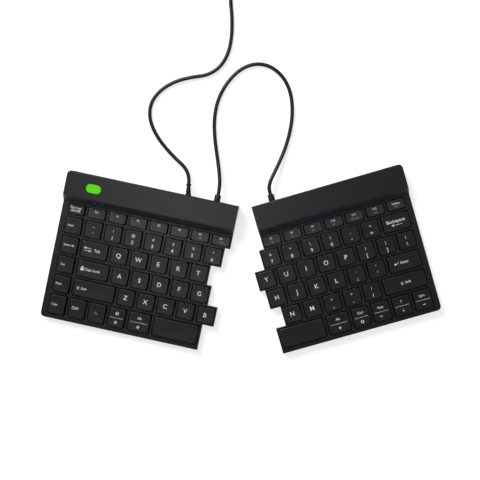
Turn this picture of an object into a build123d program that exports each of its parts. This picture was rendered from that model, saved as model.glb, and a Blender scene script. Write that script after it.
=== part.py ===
"""Split keyboard: two low halves joined by a link cable, with a lead to the computer.

The part stands on the plane z = 0 with its origin under the middle of the two halves.
Each half is drawn in a frame of its own: y = 0 runs through the number row, and x = 0 is
the outer edge of the key field, from which the keys run inwards to the stepped edge.
"""
from build123d import *
from functools import lru_cache
from math import cos, dist, hypot, pi, radians, sin, sqrt, tan
import os

# Key field, in millimetres
key_unit = 19.0
row_pitch = 18.5
function_row_depth = 12.4
bottom_row_depth = 21.2
key_gap_across = 2.8
key_gap_deep = 2.6

# Widths of the keys as shares of the letter key's pitch
letter_share = 1.0
function_share = 1.0357
tab_share = 1.5
caps_share = 1.75
shift_share = 2.25
alt_share = 1.25
space_share = 2.4
arrow_share = 1.0333

# Key caps and their travel
cap_height = 3.8
cap_wall = 1.0
cap_roof = 1.0
cap_corner = 1.5
cap_edge = 0.4
key_travel = 2.0
pressed_clearance = 0.2
key_proud = 2.4
opening_clearance = 0.4
bump_length = 3.6
bump_depth = 0.8
bump_height = 0.3
bump_inset = 3.2

# Case
outer_margin = 4.8
front_margin = 3.3
space_rim = 0.95
bar_depth = 23.0
bar_slope_depth = 5.7
bar_rise = 7.8
bar_edge = 1.2
outer_corner = 4.0
step_corner = 0.5
halves_clearance = 0.15
case_wall = 0.8
bar_wall = 1.2
deck_thickness = 1.4
deck_edge = 0.35
floor_thickness = 1.2
tray_height = 2.0
stand_height = 1.0
overrun = 5.0

# Plate and sheet under the keys
backplate_thickness = 0.5
membrane_thickness = 0.3
plate_inset = 1.3
tail_width = 14.0
tail_reach = 6.0
tail_grip = 2.6

# Switch parts under each cap
dome_base_radius = 3.2
dome_top_radius = 1.7
dome_wall = 0.5
switch_clearance = 0.3
link_width = 12.0
link_length = 10.0
link_bar = 0.8
link_thickness = 0.7
link_play = 0.2
wire_radius = 0.4
wire_bend_radius = 1.2
wire_leg_inset = 3.0
wire_play = 0.3
wired_key_width = 25.0

# Screws and feet
boss_gap = 0.1
screw_radius = 0.8
screw_head_radius = 1.25
screw_head_height = 0.5
screw_tip_gap = 1.0
boss_wall = 0.7
foot_radius = 4.5
foot_recess = 0.3
foot_inset = 11.0

# Boards in the bars
board_depth = 16.0
board_thickness = 1.2
board_rise = 3.0
board_front_gap = 6.0
board_start = 6.0
left_board_length = 110.0
right_board_length = 56.0
standoff_radius = 1.8
standoff_inset = 3.0
chip_width = 7.0
chip_height = 1.0
header_width = 6.0
header_depth = 4.0
header_height = 3.2
ribbon_socket_depth = 4.0
ribbon_socket_height = 2.4
ribbon_socket_margin = 1.5

# Light in the left bar and the marks on its slope
window_length = 14.0
window_width = 8.0
window_from_side = 27.0
window_from_back = 12.8
window_fit = 0.05
guide_radius = 2.8
led_width = 5.0
led_height = 1.6
led_gap = 0.3
mark_radius = 0.45
mark_depth = 2.4
mark_places = (26.0, 33.6, 54.5)

# Cords and what holds them
cord_diameter = 3.5
exit_height = 7.5
lead_exit = 108.4
left_link_exit = 135.5
right_link_exit = 117.7
grommet_radius = 2.6
grommet_flange_radius = 3.8
grommet_flange_thickness = 1.0
collar_length = 6.0
collar_radius = 3.0
relief_length = 10.5
relief_base_radius = 2.8
relief_tip_radius = 2.0
relief_ring_radius = 2.5
relief_ring_length = 1.0
relief_groove_length = 0.8
relief_groove_depth = 0.5
relief_grooves = 3
relief_lean = 9.0

# Plug
grip_length = 34.0
grip_width = 15.6
grip_height = 8.0
grip_corner = 2.5
grip_neck_length = 8.0
grip_neck_radius = 2.9
grip_start_wall = 0.4
shell_length = 19.0
shell_width = 12.0
shell_height = 4.5
shell_wall = 0.35
tongue_thickness = 1.8
tongue_length = 16.0
tongue_side_gap = 0.4

# Put-away coil of the lead
coil_outer_radius = 29.0
coil_turns = 4
coil_gap = 0.7
coil_exit_run = 22.0
arc_share = 0.45
tiny_share = 1e-9

# How the two halves lie
left_turn = -12.2
right_turn = 16.0
back_gap_across = 11.4
back_gap_deep = -0.55

# Routes of the cords, from what they leave to what they enter
lead_route = [
    (-46.17, 70.36, 7.5), (-45.9, 75.3, 7.5), (-47.3, 81.1, 7.0), (-50.8, 86.8, 6.0),
    (-58.6, 93.8, 4.0), (-69.6, 105.4, 2.2), (-78.4, 118.2, 1.8), (-83.4, 132.0, 1.75),
    (-81.8, 146.2, 1.75), (-72.2, 158.0, 1.75), (-58.5, 165.6, 1.75), (-43.0, 169.3, 1.75),
    (-29.5, 170.6, 1.75), (-17.5, 177.6, 1.75), (-9.6, 190.0, 1.75), (-6.3, 206.0, 1.75),
    (-6.0, 223.0, 1.75), (-7.6, 240.0, 1.75), (-7.0, 254.0, 1.75), (-7.0, 268.0, 1.75),
]
link_route = [
    (-19.0, 60.02, 7.5), (-17.39, 67.47, 7.5), (-17.9, 80.0, 5.4), (-20.2, 96.0, 2.7),
    (-22.6, 114.0, 1.75), (-22.9, 131.0, 1.75), (-19.6, 148.0, 1.75), (-11.2, 163.6, 1.75),
    (1.0, 176.0, 1.75), (14.5, 181.3, 1.75), (28.5, 179.3, 1.75), (40.5, 169.8, 1.75),
    (47.6, 156.0, 1.75), (49.8, 139.5, 1.75), (48.4, 123.0, 1.75), (43.6, 104.6, 2.3),
    (36.9, 88.8, 4.2), (31.4, 77.6, 6.0), (28.5, 71.0, 7.1), (27.84, 65.23, 7.5),
    (29.22, 60.41, 7.5),
]

# Heights above the desk
case_bottom = stand_height
floor_top = case_bottom + floor_thickness
plate_top = floor_top + backplate_thickness
membrane_top = plate_top + membrane_thickness
cap_bottom = membrane_top + pressed_clearance + key_travel
cap_top = cap_bottom + cap_height
deck_top = cap_top - key_proud
deck_bottom = deck_top - deck_thickness
bar_top = deck_top + bar_rise
seam = case_bottom + tray_height
board_bottom = floor_top + board_rise
board_top = board_bottom + board_thickness
switch_top = cap_top - cap_roof - switch_clearance

# Places in a half, along y
back_of_keys = row_pitch / 2 + function_row_depth
back_of_slope = back_of_keys + bar_slope_depth
back_edge = back_of_slope + bar_depth
cord_radius = cord_diameter / 2

LEFT_ROWS = [
    (function_row_depth, [("func_toggle_key", letter_share), ("escape_key", function_share)]
     + [("f1_to_f6_keys", function_share)] * 6),
    (row_pitch, [("shortcut_keys", letter_share)] + [("number_keys_left", letter_share)] * 7),
    (row_pitch, [("shortcut_keys", letter_share), ("tab_key", tab_share)]
     + [("keys_q_to_t", letter_share)] * 5),
    (row_pitch, [("shortcut_keys", letter_share), ("caps_lock_key", caps_share)]
     + [("keys_a_to_g", letter_share)] * 5),
    (row_pitch, [("shortcut_keys", letter_share), ("left_shift_key", shift_share)]
     + [("keys_z_to_b", letter_share)] * 5),
    (bottom_row_depth, [("shortcut_keys", letter_share), ("left_ctrl_key", letter_share),
                        ("fn_key", letter_share), ("system_key", letter_share),
                        ("left_alt_key", alt_share), ("left_space_key", space_share)]),
]
RIGHT_ROWS = [
    (function_row_depth, [("delete_key", function_share)]
     + [("f7_to_f12_keys", function_share)] * 6),
    (row_pitch, [("backspace_key", tab_share)] + [("number_keys_right", letter_share)] * 6),
    (row_pitch, [("keys_y_to_backslash", letter_share)] * 8),
    (row_pitch, [("enter_key", caps_share)] + [("keys_h_to_quote", letter_share)] * 6),
    (row_pitch, [("right_shift_key", shift_share)] + [("keys_n_to_slash", letter_share)] * 5),
    (bottom_row_depth, [("arrow_keys", arrow_share)] * 3
     + [("right_ctrl_key", letter_share), ("right_alt_key", alt_share),
        ("right_space_key", space_share)]),
]
HOMING_CAPS = (("keys_a_to_g", 3), ("keys_h_to_quote", 4))


class Half:
    """One half of the keyboard: its name, its rows and the way they run inwards."""

    def __init__(self, name, rows, inward, last_rim, board_length):
        self.name = name
        self.rows = rows
        self.inward = inward
        self.board_length = board_length
        self.reaches = [sum(share for _, share in keys) * key_unit for _, keys in rows]
        self.reaches[-1] += last_rim
        self.levels = [back_of_keys]
        for depth, _ in rows:
            self.levels.append(self.levels[-1] - depth)
        self.front_edge = self.levels[-1] - front_margin
        self.place = None

    def cells(self):
        """Each key's node, centre and cell size, row by row from the outer edge inwards."""
        found = []
        for row, (depth, keys) in enumerate(self.rows):
            reach = 0
            for node, share in keys:
                width = share * key_unit
                centre = (self.inward * (reach + width / 2), self.levels[row] - depth / 2)
                found.append((node, centre, width, depth))
                reach += width
        return found

    def point(self, reach, y):
        """A point of this half, reach being the distance inwards from the outer edge."""
        return self.inward * reach, y


def stepped_face(half, inset, outer, back, front):
    """The half's stepped shape, drawn in by inset, between its outer, back and front edges."""
    y = back - inset
    points = [half.point(inset - outer, y)]
    for row, reach in enumerate(half.reaches):
        points.append(half.point(reach - inset, y))
        if row + 1 < len(half.reaches):
            step = 1 if reach > half.reaches[row + 1] else -1
            y = half.levels[row + 1] + inset * step
        else:
            y = front + inset
        points.append(half.point(reach - inset, y))
    points.append(half.point(inset - outer, y))
    return make_face(Polyline(points, close=True))


def case_face(half, inset, corner, small_corner=0):
    """The case's outline with its outer corners rounded and, if asked, its steps eased."""
    face = stepped_face(half, inset, outer_margin, back_edge, half.front_edge)
    groups = face.vertices().group_by(Axis.X)
    outer = groups[0] if half.inward > 0 else groups[-1]
    others = [v for v in face.vertices() if v not in outer]
    face = fillet(outer, corner)
    if small_corner:
        kept = [v for v in face.vertices()
                if any(abs(v.X - o.X) + abs(v.Y - o.Y) < small_corner for o in others)]
        face = fillet(kept, small_corner)
    return face


def raised(face, low, high):
    """A flat shape as a solid between two heights."""
    return Pos(0, 0, low) * extrude(face, amount=high - low, dir=(0, 0, 1))


def along_x(points, x_from, x_to, rounded=0, count=0):
    """A y-z outline as a solid between two places along x, its first corners rounded."""
    face = make_face(Polyline(points, close=True))
    if rounded:
        chosen = [v for v in face.vertices()
                  if any(abs(v.X - p[0]) + abs(v.Y - p[1]) < rounded / 2 for p in points[:count])]
        face = fillet(chosen, rounded)
    body = extrude(Plane.YZ * face, amount=abs(x_to - x_from), dir=(1, 0, 0))
    return Pos(min(x_from, x_to), 0, 0) * body


def slope_y(height, inset=0):
    """Where the bar's slope, drawn in by inset, stands at a height."""
    lean = bar_slope_depth / bar_rise
    return back_of_keys + (height - deck_top) * lean + inset * hypot(lean, 1)


def screw_points(half):
    """Screws along the bar's back, the outer margin and the front margin."""
    from_wall = halves_clearance + case_wall + boss_gap + boss_radius()
    from_bar_wall = halves_clearance + bar_wall + boss_gap + boss_radius()
    side = from_wall - outer_margin
    back = back_edge - from_bar_wall
    inner = half.reaches[0] - from_bar_wall
    middle = (side + inner) / 2
    front = half.front_edge + from_wall
    points = [(inner, back), (middle, back), (side + outer_corner, back)]
    points += [(side, half.levels[2]), (side, half.levels[4])]
    points += [(half.reaches[-1] / 2, front), (half.reaches[-1] - foot_inset, front)]
    return [half.point(*p) for p in points]


def foot_points(half):
    """Feet near the corners and behind the middle of the key field."""
    outer = foot_inset - outer_margin
    back = back_edge - foot_inset
    front = half.front_edge + foot_inset
    inner = min(half.reaches) - foot_inset
    points = [(outer, back), (inner, back), (outer, front), (inner, front),
              ((outer + inner) / 2, (back + front) / 2)]
    return [half.point(*p) for p in points]


def board_span(half):
    """The board's two ends and its front and back edges."""
    front = back_of_keys + board_front_gap
    return board_start, board_start + half.board_length, front, front + board_depth


def standoff_points(half):
    start, end, front, back = board_span(half)
    return [half.point(x, y) for x in (start + standoff_inset, end - standoff_inset)
            for y in (front + standoff_inset, back - standoff_inset)]


def window_point(half):
    return half.point(window_from_side - outer_margin, back_edge - window_from_back)


def boss_radius():
    return screw_radius + boss_wall


def top_case(half):
    """The deck with its key openings, and the raised bar behind it, as one shell."""
    outline = case_face(half, halves_clearance, outer_corner, step_corner)
    deck = raised(outline, seam, deck_top)
    deck = chamfer(deck.faces().sort_by(Axis.Z)[-1].outer_wire().edges(), deck_edge)
    reach = half.inward * (half.reaches[0] + overrun)
    start = -half.inward * (outer_margin + overrun)
    bar = along_x([(back_edge, bar_top), (back_of_slope, bar_top), (back_of_keys, deck_top),
                   (back_of_keys, seam), (back_edge, seam)], start, reach, bar_edge, 2)
    shell = deck + (bar & raised(outline, seam, bar_top))
    inner = case_face(half, halves_clearance + case_wall, outer_corner - case_wall)
    hollow = raised(inner, seam - overrun, deck_bottom)
    ceiling = bar_top - bar_wall
    bar_hollow = along_x([(back_edge - bar_wall, ceiling), (slope_y(ceiling, bar_wall), ceiling),
                          (slope_y(deck_bottom, bar_wall), deck_bottom),
                          (back_edge - bar_wall, deck_bottom)], start, reach)
    bar_inner = case_face(half, halves_clearance + bar_wall, outer_corner - bar_wall)
    shell -= hollow
    shell -= bar_hollow & raised(bar_inner, seam, bar_top)
    for x, y in screw_points(half):
        roof = bar_top - bar_wall if y > back_of_slope else deck_bottom
        shell += Pos(x, y, floor_top) * Cylinder(
            boss_radius(), roof - floor_top, align=(Align.CENTER, Align.CENTER, Align.MIN))
    for x, y in screw_points(half):
        depth = screw_length(y) + screw_tip_gap
        shell -= Pos(x, y, case_bottom) * Cylinder(
            screw_radius, depth, align=(Align.CENTER, Align.CENTER, Align.MIN))
    openings = Sketch() + [
        Pos(*centre) * RectangleRounded(width - key_gap_across + 2 * opening_clearance,
                                        depth - key_gap_deep + 2 * opening_clearance,
                                        cap_corner + opening_clearance)
        for _, centre, width, depth in half.cells()]
    shell -= raised(openings, deck_bottom - deck_thickness, deck_top + deck_thickness)
    return shell


def screw_length(y):
    """Shank length from the underside: long in the bar, short under the deck."""
    tip = board_top if y > back_of_slope else deck_bottom - screw_tip_gap
    return tip - case_bottom


def bottom_case(half):
    """The tray: floor, low wall, foot recesses, screw holes and board standoffs."""
    outline = case_face(half, halves_clearance, outer_corner, step_corner)
    inner = case_face(half, halves_clearance + case_wall, outer_corner - case_wall)
    tray = raised(outline, case_bottom, seam) - raised(inner, floor_top, seam + overrun)
    for x, y in foot_points(half):
        tray -= Pos(x, y, case_bottom) * Cylinder(
            foot_radius, foot_recess, align=(Align.CENTER, Align.CENTER, Align.MIN))
    for x, y in screw_points(half):
        tray -= Pos(x, y, case_bottom) * (
            Cylinder(screw_radius, floor_thickness, align=(Align.CENTER, Align.CENTER, Align.MIN))
            + Cylinder(screw_head_radius, screw_head_height,
                       align=(Align.CENTER, Align.CENTER, Align.MIN)))
    for x, y in standoff_points(half):
        tray += Pos(x, y, floor_top) * Cylinder(
            standoff_radius, board_rise, align=(Align.CENTER, Align.CENTER, Align.MIN))
    return tray


def case_screws(half):
    screws = []
    for x, y in screw_points(half):
        head = Cylinder(screw_head_radius, screw_head_height,
                        align=(Align.CENTER, Align.CENTER, Align.MIN))
        shank = Cylinder(screw_radius, screw_length(y),
                         align=(Align.CENTER, Align.CENTER, Align.MIN))
        screws.append(Pos(x, y, case_bottom) * (head + shank))
    return screws


def rubber_feet(half):
    foot = Cylinder(foot_radius, stand_height + foot_recess,
                    align=(Align.CENTER, Align.CENTER, Align.MIN))
    return [Pos(x, y, 0) * foot for x, y in foot_points(half)]


def backplate(half):
    face = stepped_face(half, plate_inset, 0, back_of_keys, half.levels[-1])
    return raised(face, floor_top, plate_top)


def membrane(half):
    """The contact sheet, with a tail that turns up into the board's ribbon socket."""
    face = stepped_face(half, plate_inset, 0, back_of_keys, half.levels[-1])
    sheet = raised(face, plate_top, membrane_top)
    start, end, front, _ = board_span(half)
    rise_at = back_of_keys + tail_reach - plate_inset
    top = board_top + ribbon_socket_height / 2
    middle = (start + end) / 2
    edges = [half.inward * (middle - tail_width / 2), half.inward * (middle + tail_width / 2)]
    tail = along_x([(back_of_keys - 2 * plate_inset, plate_top), (rise_at, plate_top),
                    (rise_at, top - membrane_thickness), (front + tail_grip, top - membrane_thickness),
                    (front + tail_grip, top), (rise_at - membrane_thickness, top),
                    (rise_at - membrane_thickness, membrane_top),
                    (back_of_keys - 2 * plate_inset, membrane_top)], edges[0], edges[1])
    return sheet + tail


def circuit_board(half):
    """The board with its chip, ribbon socket and wire headers, each a solid on its top."""
    start, end, front, back = board_span(half)
    middle = half.point((start + end) / 2, (front + back) / 2)
    low = (Align.CENTER, Align.CENTER, Align.MIN)
    board = Pos(*middle, board_bottom) * Box(end - start, back - front, board_thickness, align=low)
    socket_y = front + ribbon_socket_depth / 2
    socket = Pos(middle[0], socket_y, board_top) * Box(
        tail_width + 2 * ribbon_socket_margin, ribbon_socket_depth, ribbon_socket_height, align=low)
    top = board_top + ribbon_socket_height / 2
    socket -= Pos(middle[0], front, top - membrane_thickness) * Box(
        tail_width, 2 * tail_grip, membrane_thickness, align=low)
    chip_x, chip_y = half.point((start + end) / 2 + 2 * chip_width, back - chip_width)
    chip = Pos(chip_x, chip_y, board_top) * Box(chip_width, chip_width, chip_height, align=low)
    pieces = [board, socket, chip]
    header_y = back - header_depth / 2
    header_x, _ = half.point(end - header_width, header_y)
    header = Box(header_width, header_depth, header_height, align=low)
    pieces.append(Pos(header_x, header_y, board_top) * header)
    if half.inward > 0:
        pieces.append(Pos(header_x - 2 * header_width, header_y, board_top) * header)
    return pieces


@lru_cache
def keycap(width, depth, bump=False):
    """A hollow cap with eased top edges, standing on z = 0."""
    cap = extrude(RectangleRounded(width, depth, cap_corner), cap_height)
    cap = fillet(cap.faces().sort_by(Axis.Z)[-1].edges(), cap_edge)
    hollow = RectangleRounded(width - 2 * cap_wall, depth - 2 * cap_wall, cap_corner - cap_wall)
    cap -= extrude(hollow, cap_height - cap_roof)
    if bump:
        cap += Pos(0, bump_inset - depth / 2, cap_height) * Box(
            bump_length, bump_depth, 2 * bump_height)
    return cap


def key_caps(half):
    """All the half's caps, gathered under the node that each belongs to."""
    caps = {}
    for node, centre, width, depth in half.cells():
        group = caps.setdefault(node, [])
        bump = (node, len(group)) in HOMING_CAPS
        cap = keycap(width - key_gap_across, depth - key_gap_deep, bump)
        group.append(Pos(*centre, cap_bottom) * cap)
    return caps


def link_length_for(depth):
    """Scissor length under a cap: the usual one, or what a shallow cap leaves room for."""
    room = depth - key_gap_deep - 2 * cap_wall - 2 * switch_clearance
    return min(link_length, room)


@lru_cache
def rubber_dome(depth):
    room = link_length_for(depth) / 2 - link_bar - 2 * link_play
    base = min(dome_base_radius, room)
    profile = make_face(Polyline([
        (base - dome_wall, membrane_top), (base, membrane_top),
        (dome_top_radius, switch_top), (0, switch_top), (0, switch_top - dome_wall),
        (dome_top_radius - dome_wall, switch_top - dome_wall)], close=True))
    return revolve(Plane.XZ * profile, Axis.Z)


def rubber_domes(half):
    return [Pos(*centre, 0) * rubber_dome(depth) for _, centre, _, depth in half.cells()]


@lru_cache
def scissor_frame(width, length, rise, turn):
    """One lever: a thin frame tilted across the height between the sheet and the cap."""
    run = length - link_thickness
    angle = Vector(run, rise - link_thickness, 0).get_angle(Vector(1, 0, 0))
    slant = run / cos(radians(angle))
    frame = Box(width, slant, link_thickness)
    frame -= Box(width - 2 * link_bar, slant - 2 * link_bar, link_thickness)
    return Rot(turn * angle, 0, 0) * frame


def scissor_links(half):
    """Two crossed levers under each cap, one inside the other."""
    links = []
    rise = switch_top - membrane_top - switch_clearance
    for _, centre, _, depth in half.cells():
        length = link_length_for(depth)
        inner = link_width - 2 * link_bar - 2 * link_play
        spot = Pos(*centre, (switch_top + membrane_top) / 2)
        links.append(spot * scissor_frame(link_width, length, rise, 1))
        links.append(spot * scissor_frame(inner, length, rise, -1))
    return links


def stabiliser_wires(half):
    """A bent wire under each wide cap, from its front edge down to the plate behind."""
    wires = []
    high = switch_top - wire_radius
    low = membrane_top + wire_radius + wire_play
    for _, centre, width, depth in half.cells():
        if width < wired_key_width:
            continue
        half_span = (width - key_gap_across) / 2 - wire_leg_inset
        front = cap_wall + wire_radius + wire_play - (depth - key_gap_deep) / 2
        path = FilletPolyline((-half_span, -front, low), (-half_span, front, high),
                              (half_span, front, high), (half_span, -front, low),
                              radius=wire_bend_radius)
        section = Plane(origin=path @ 0, z_dir=path % 0) * Circle(wire_radius)
        wires.append(Pos(*centre, 0) * sweep(section, path))
    return wires


def light_window(half):
    """The clear window in the bar's top, with the guide that brings the light up to it."""
    x, y = window_point(half)
    low = (Align.CENTER, Align.CENTER, Align.MIN)
    lens = raised(Pos(x, y) * SlotOverall(window_length, window_width), bar_top - bar_wall, bar_top)
    foot = board_top + led_height + led_gap
    return lens + Pos(x, y, foot) * Cylinder(guide_radius, bar_top - bar_wall - foot, align=low)


def window_hole(half):
    x, y = window_point(half)
    face = SlotOverall(window_length + 2 * window_fit, window_width + 2 * window_fit)
    return raised(Pos(x, y) * face, bar_top - 2 * bar_wall, bar_top + bar_wall)


def signal_led(half):
    x, y = window_point(half)
    return Pos(x, y, board_top) * Box(led_width, led_width, led_height,
                                      align=(Align.CENTER, Align.CENTER, Align.MIN))


def slope_mark(half, reach, radius, depth):
    """A pin square to the slope's face, its outer end flush with it."""
    lean = Vector(bar_slope_depth, bar_rise, 0).get_angle(Vector(1, 0, 0))
    x, y = half.point(reach, back_of_keys + bar_slope_depth / 2)
    pin = Cylinder(radius, depth, align=(Align.CENTER, Align.CENTER, Align.MAX))
    return Pos(x, y, deck_top + bar_rise / 2) * Rot(lean, 0, 0) * pin


def wall_hole(half, reach):
    """The hole through the bar's back wall that a cord's grommet fills."""
    x, y = half.point(reach, back_edge)
    return Pos(x, y, exit_height) * Rot(90, 0, 0) * Cylinder(grommet_radius, 2 * bar_wall + overrun)


def turned_along_y(profile):
    """A solid turned about the y axis from (radius, distance along y) points."""
    face = make_face(Polyline([(radius, along) for along, radius in profile], close=True))
    return revolve(face, Axis.Y)


def grommet():
    """The neck in the wall and the flange behind it, ending flush with the wall outside."""
    wall = bar_wall + halves_clearance
    return turned_along_y([
        (0, 0), (0, grommet_radius), (-wall, grommet_radius), (-wall, grommet_flange_radius),
        (-wall - grommet_flange_thickness, grommet_flange_radius),
        (-wall - grommet_flange_thickness, 0)])


def link_collar():
    return grommet() + turned_along_y([(0, 0), (0, collar_radius), (collar_length, collar_radius),
                                       (collar_length, 0)])


def strain_relief():
    """A ribbed boot that narrows outwards to an end ring, leaning towards the lead's way."""
    barrel = relief_length - relief_ring_length
    groove_pitch = barrel / (relief_grooves + 1)
    slope = (relief_base_radius - relief_tip_radius) / barrel
    profile = [(-overrun, 0), (-overrun, relief_base_radius), (0, relief_base_radius)]
    for number in range(relief_grooves):
        start = (number + 1) * groove_pitch - relief_groove_length / 2
        end = start + relief_groove_length
        radius_in = relief_base_radius - slope * start
        radius_out = relief_base_radius - slope * end
        profile += [(start, radius_in), (start, radius_in - relief_groove_depth),
                    (end, radius_out - relief_groove_depth), (end, radius_out)]
    profile += [(barrel, relief_tip_radius), (barrel, relief_ring_radius),
                (relief_length, relief_ring_radius), (relief_length, 0)]
    boot = Rot(0, 0, relief_lean) * turned_along_y(profile)
    behind = Box(4 * overrun, 4 * overrun, 4 * overrun, align=(Align.CENTER, Align.MAX, Align.CENTER))
    return grommet() + (boot - behind)


def cord_tube(route, name):
    """A round tube along straight runs joined by tangent arcs, each as large as its runs allow."""
    points = [Vector(*point) for point in route]
    radii = []
    for before, here, after in zip(points, points[1:], points[2:]):
        turn = (here - before).get_angle(after - here)
        run = min((here - before).length, (after - here).length)
        radii.append(arc_share * run / tan(radians(turn / 2)))
    path = FilletPolyline(*points, radius=radii)
    tube = sweep(Plane(origin=path @ 0, z_dir=path % 0) * Circle(cord_radius), path)
    expected = path.length * pi * cord_radius ** 2
    print(name, "length", round(path.length, 1), "smallest radius", round(min(radii), 1),
          "radii", [round(radius, 1) for radius in radii],
          "volume against section times length", round(tube.volume / expected, 4))
    return tube


def biarc(start, start_way, end, end_way):
    """Two tangent arcs from one point and direction to another."""
    gap = end - start
    both = start_way + end_way
    square = both.dot(both) - 4
    if abs(square) > tiny_share:
        half_term = gap.dot(both)
        root = sqrt(half_term ** 2 - square * gap.dot(gap))
        reach = (half_term - root) / square
        if reach < 0:
            reach = (half_term + root) / square
    else:
        reach = gap.dot(gap) / (2 * gap.dot(both))
    first = start + start_way * reach
    last = end - end_way * reach
    middle = (first + last) * 0.5
    return [TangentArc(start, middle, tangent=start_way),
            TangentArc(middle, end, tangent=(last - first).normalized())]


def coil_stations():
    """The coil's half-turn points and directions, from its foot outside to its upper end."""
    pitch = cord_diameter + coil_gap
    start = Vector(*lead_route[-1])
    centre = start + Vector(coil_outer_radius, cord_diameter, 0)
    turning = 2 * coil_turns
    innermost = coil_outer_radius - (turning + 1 / 2) * pitch / 2
    stations = []
    for number in range(2 * turning + 1):
        climbed = number > turning
        radius = coil_outer_radius - number * pitch / 2
        if climbed:
            after = number - turning - 1
            radius = innermost + (after + 1 / 2 if after else 0) * pitch / 2
        side = -1 if number % 2 == 0 else 1
        height = start.Z + (pitch if climbed else 0)
        stations.append((Vector(centre.X + side * radius, centre.Y, height), Vector(0, -side, 0)))
    return centre, stations


def coil_edges():
    """The coil's line: a straight start, half turns in and out again, and a run to the plug."""
    pitch = cord_diameter + coil_gap
    start = Vector(*lead_route[-1])
    centre, stations = coil_stations()
    edges = [Line(start, stations[0][0])]
    for (here, way), (there, next_way) in zip(stations, stations[1:]):
        edges += biarc(here, way, there, next_way)
    last, way = stations[-1]
    ahead = Vector(1, 0, 0)
    top = Vector(centre.X, centre.Y + coil_outer_radius + pitch / 4, last.Z)
    edges += biarc(last, way, top, ahead)
    landing = Vector(top.X + coil_exit_run, top.Y, grip_height / 2)
    edges += biarc(top, ahead, landing, ahead)
    edges.append(Line(landing, landing + ahead * cord_diameter))
    return edges


def lead_coil():
    """The put-away length of the lead as one wound tube, and its least gap to itself."""
    edges = coil_edges()
    path = Wire(edges)
    tube = sweep(Plane(origin=edges[0] @ 0, z_dir=edges[0] % 0) * Circle(cord_radius), path)
    expected = path.length * pi * cord_radius ** 2
    points = []
    travelled = 0
    for edge in edges:
        steps = max(2, round(edge.length / cord_radius))
        for step in range(steps):
            share = step / steps
            points.append((tuple(edge @ share), travelled + edge.length * share))
        travelled += edge.length
    apart = min(dist(a, b) for i, (a, along_a) in enumerate(points)
                for b, along_b in points[i + 1:] if along_b - along_a > pi * cord_diameter)
    print("lead coil length", round(path.length, 1), "least gap to itself",
          round(apart - cord_diameter, 2),
          "volume against section times length", round(tube.volume / expected, 4))
    return tube, edges[-1] @ 1


def plug_grip(tip):
    """The moulded grip: a round neck that widens to a rounded block, the way of +x."""
    neck = Pos(tip.X, tip.Y, tip.Z) * Rot(0, 90, 0) * Cone(
        cord_radius + grip_start_wall, grip_neck_radius, grip_neck_length,
        align=(Align.CENTER, Align.CENTER, Align.MIN))
    section = RectangleRounded(grip_width, grip_height, grip_corner)
    block = extrude(Plane.YZ * section, amount=grip_length - grip_neck_length, dir=(1, 0, 0))
    block = Pos(tip.X + grip_neck_length, tip.Y, tip.Z) * block
    return neck + block


def plug_shell(tip):
    """The metal shell and, inside it, the tongue that carries the contacts."""
    face = tip.X + grip_length
    ahead = (Align.MIN, Align.CENTER, Align.CENTER)
    outer = Box(shell_length, shell_width, shell_height, align=ahead)
    inner = Pos(shell_wall, 0, 0) * Box(
        shell_length, shell_width - 2 * shell_wall, shell_height - 2 * shell_wall, align=ahead)
    shell = Pos(face, tip.Y, tip.Z) * (outer - inner)
    tongue = Box(tongue_length, shell_width - 2 * shell_wall - 2 * tongue_side_gap,
                 tongue_thickness, align=ahead)
    lift = shell_height / 2 - shell_wall - tongue_thickness / 2
    return [shell, Pos(face + shell_wall, tip.Y, tip.Z + lift) * tongue]


def settle(left, right):
    """Place the halves from the gap between their inner back corners, centred on the origin."""
    left_corner = Vector(*left.point(left.reaches[0] - halves_clearance, back_edge - halves_clearance))
    right_corner = Vector(*right.point(right.reaches[0] - halves_clearance,
                                       back_edge - halves_clearance))
    left.place = Rot(0, 0, left_turn) * Pos(*-left_corner)
    right.place = Pos(back_gap_across, back_gap_deep, 0) * Rot(0, 0, right_turn) * Pos(*-right_corner)
    outlines = [half.place * case_face(half, halves_clearance, outer_corner) for half in (left, right)]
    box = Compound(children=[outline.face() for outline in outlines]).bounding_box()
    shift = Pos(-box.center().X, -box.center().Y, 0)
    left.place = shift * left.place
    right.place = shift * right.place
    pivot_and_closing(left, right, shift)


def pivot_and_closing(left, right, shift):
    """Print the point the right half swings about and how far it slides to close up."""
    swing = radians(right_turn - left_turn)
    tilt = radians(left_turn)
    across = back_gap_across * cos(tilt) + back_gap_deep * sin(tilt)
    deep = back_gap_deep * cos(tilt) - back_gap_across * sin(tilt)
    pivot_back = deep / sin(swing)
    pivot = shift * Pos((across - pivot_back) * cos(tilt) - deep * sin(tilt),
                        (across - pivot_back) * sin(tilt) + deep * cos(tilt), 0)
    closing = across - pivot_back * (1 - cos(swing)) - 2 * halves_clearance
    print("swing point", [round(v, 3) for v in pivot.position],
          "swing to parallel", round(right_turn - left_turn, 3),
          "slide to close", round(closing, 3),
          "slide direction", [round(cos(tilt), 6), round(sin(tilt), 6)])


def place_all(half, pieces):
    return [half.place * piece for piece in pieces]


def half_nodes(half):
    """Every node of one half, placed."""
    nodes = {
        "top_case": [top_case(half)],
        "bottom_case": [bottom_case(half)],
        "backplate": [backplate(half)],
        "membrane": [membrane(half)],
        "rubber_domes": rubber_domes(half),
        "scissor_links": scissor_links(half),
        "stabiliser_wires": stabiliser_wires(half),
        "circuit_board": circuit_board(half),
        "rubber_feet": rubber_feet(half),
        "case_screws": case_screws(half),
    }
    named = {half.name + "_" + node: pieces for node, pieces in nodes.items()}
    named.update(key_caps(half))
    return named


left = Half("left", LEFT_ROWS, 1, space_rim, left_board_length)
right = Half("right", RIGHT_ROWS, -1, 0, right_board_length)
settle(left, right)

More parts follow.
